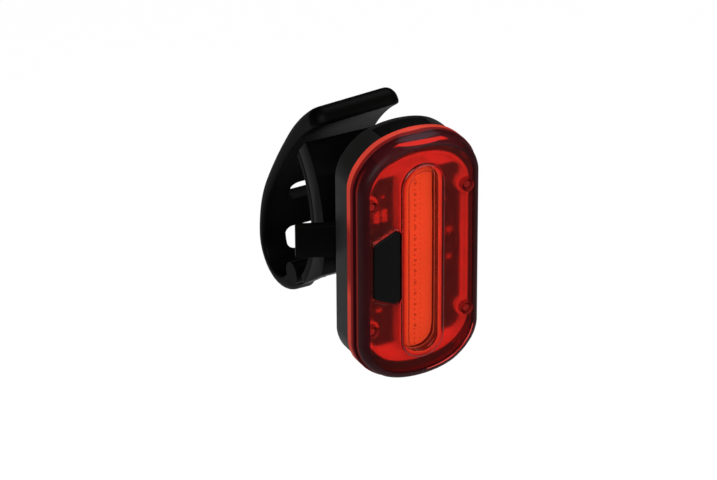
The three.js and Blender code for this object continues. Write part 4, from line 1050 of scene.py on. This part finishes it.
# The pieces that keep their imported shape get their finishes

dressed = {
    "lampBoard": ["led_board"],
    "boardBlack": ["driver_chip", "board_connector", "socket_tongue", "battery_lead_black"],
    "phosphor": ["phosphor_strip"],
    "smallParts": [*(f"resistor_{index}" for index in range(1, 7)), "charge_indicator"],
    "screwZinc": ["switch_body", "charging_socket", "lever_pin", "strap_pin", "rail_screw_1", "rail_screw_2",
                  *(f"housing_screw_{index}" for index in range(1, 5))],
    "plungerBuff": ["switch_plunger", "led_chips"],
    "cellFoil": ["battery_cell"],
    "foamTape": ["battery_tape"],
    "plugNylon": ["battery_plug"],
    "leadRed": ["battery_lead_red"],
    "boardGreen": ["main_board"],
    "coverRubber": ["housing_seal"],
    "mountPlastic": ["mount_rail"],
}
for look, names in dressed.items():
    for name in names:
        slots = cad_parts[name].data.materials
        slots.clear()
        slots.append(finish[look])
print("packed pieces are dressed")


# Studio: pale floor, white surroundings and soft lamps

lamps = {
    "keyLamp": {"place": (-380, -520, 460), "size": 0.45, "power": 3.2},
    "frontLamp": {"place": (320, -620, 120), "size": 0.45, "power": 1.15},
    "topLamp": {"place": (230, 110, 520), "size": 0.35, "power": 0.9},
}
surround = {"diffuse": 0.20, "glossy": 0.05, "seen": 1.0}
floor = {"cells": 8, "half": 1.6, "place": (0, 1.45, -0.16), "share": 0.9, "glow": 1.065}
aimY = 10


# One for camera rays and for rays that pass through the lens
def seenFactor(tree, path):
    return addMath(tree, 'MAXIMUM', path.outputs['Is Camera Ray'], path.outputs['Is Transmission Ray'])


def makeWorld():
    world = bpy.data.worlds.new("studio")
    scene.world = world
    world.use_nodes = True
    tree = world.node_tree
    path = tree.nodes.new('ShaderNodeLightPath')
    plain = addRamp(tree, path.outputs['Is Glossy Ray'], 0, 1, surround["diffuse"], surround["glossy"])
    strength = addRamp(tree, seenFactor(tree, path), 0, 1, plain, surround["seen"])
    feed(tree, tree.nodes["Background"], {'Color': (1, 1, 1), 'Strength': strength})


def makeLamps():
    for name, lamp in lamps.items():
        data = bpy.data.lights.new(name, 'AREA')
        data.size = lamp["size"]
        data.energy = lamp["power"]
        made = bpy.data.objects.new(name, data)
        scene.collection.objects.link(made)
        place = here(*lamp["place"])
        aim = here(0, aimY, 0) - place
        made.matrix_world = Matrix.Translation(place) @ aim.to_track_quat('-Z', 'Y').to_matrix().to_4x4()


def makeFloor():
    bm = bmesh.new()
    bmesh.ops.create_grid(bm, x_segments=floor["cells"], y_segments=floor["cells"], size=floor["half"])
    bmesh.ops.translate(bm, verts=bm.verts[:], vec=floor["place"])
    mesh = bpy.data.meshes.new("floor")
    bm.to_mesh(mesh)
    bm.free()
    ground = bpy.data.objects.new("floor", mesh)
    scene.collection.objects.link(ground)
    material = grainMaterial("paleFloor", (0.86, 0.86, 0.86), (0.88, 0.88, 0.88), 0.9, 0.05, 20.0, 0.05, 0.0)
    tree = material.node_tree
    path = tree.nodes.new('ShaderNodeLightPath')
    share = addRamp(tree, seenFactor(tree, path), 0, 1, 0, floor["share"])
    glow = tree.nodes.new('ShaderNodeEmission')
    feed(tree, glow, {'Strength': floor["glow"]})
    addOverlay(material, share, glow.outputs['Emission'])
    mesh.materials.append(material)


makeWorld()
makeLamps()
makeFloor()
scene.view_settings.view_transform = 'Standard'
print("studio is set")
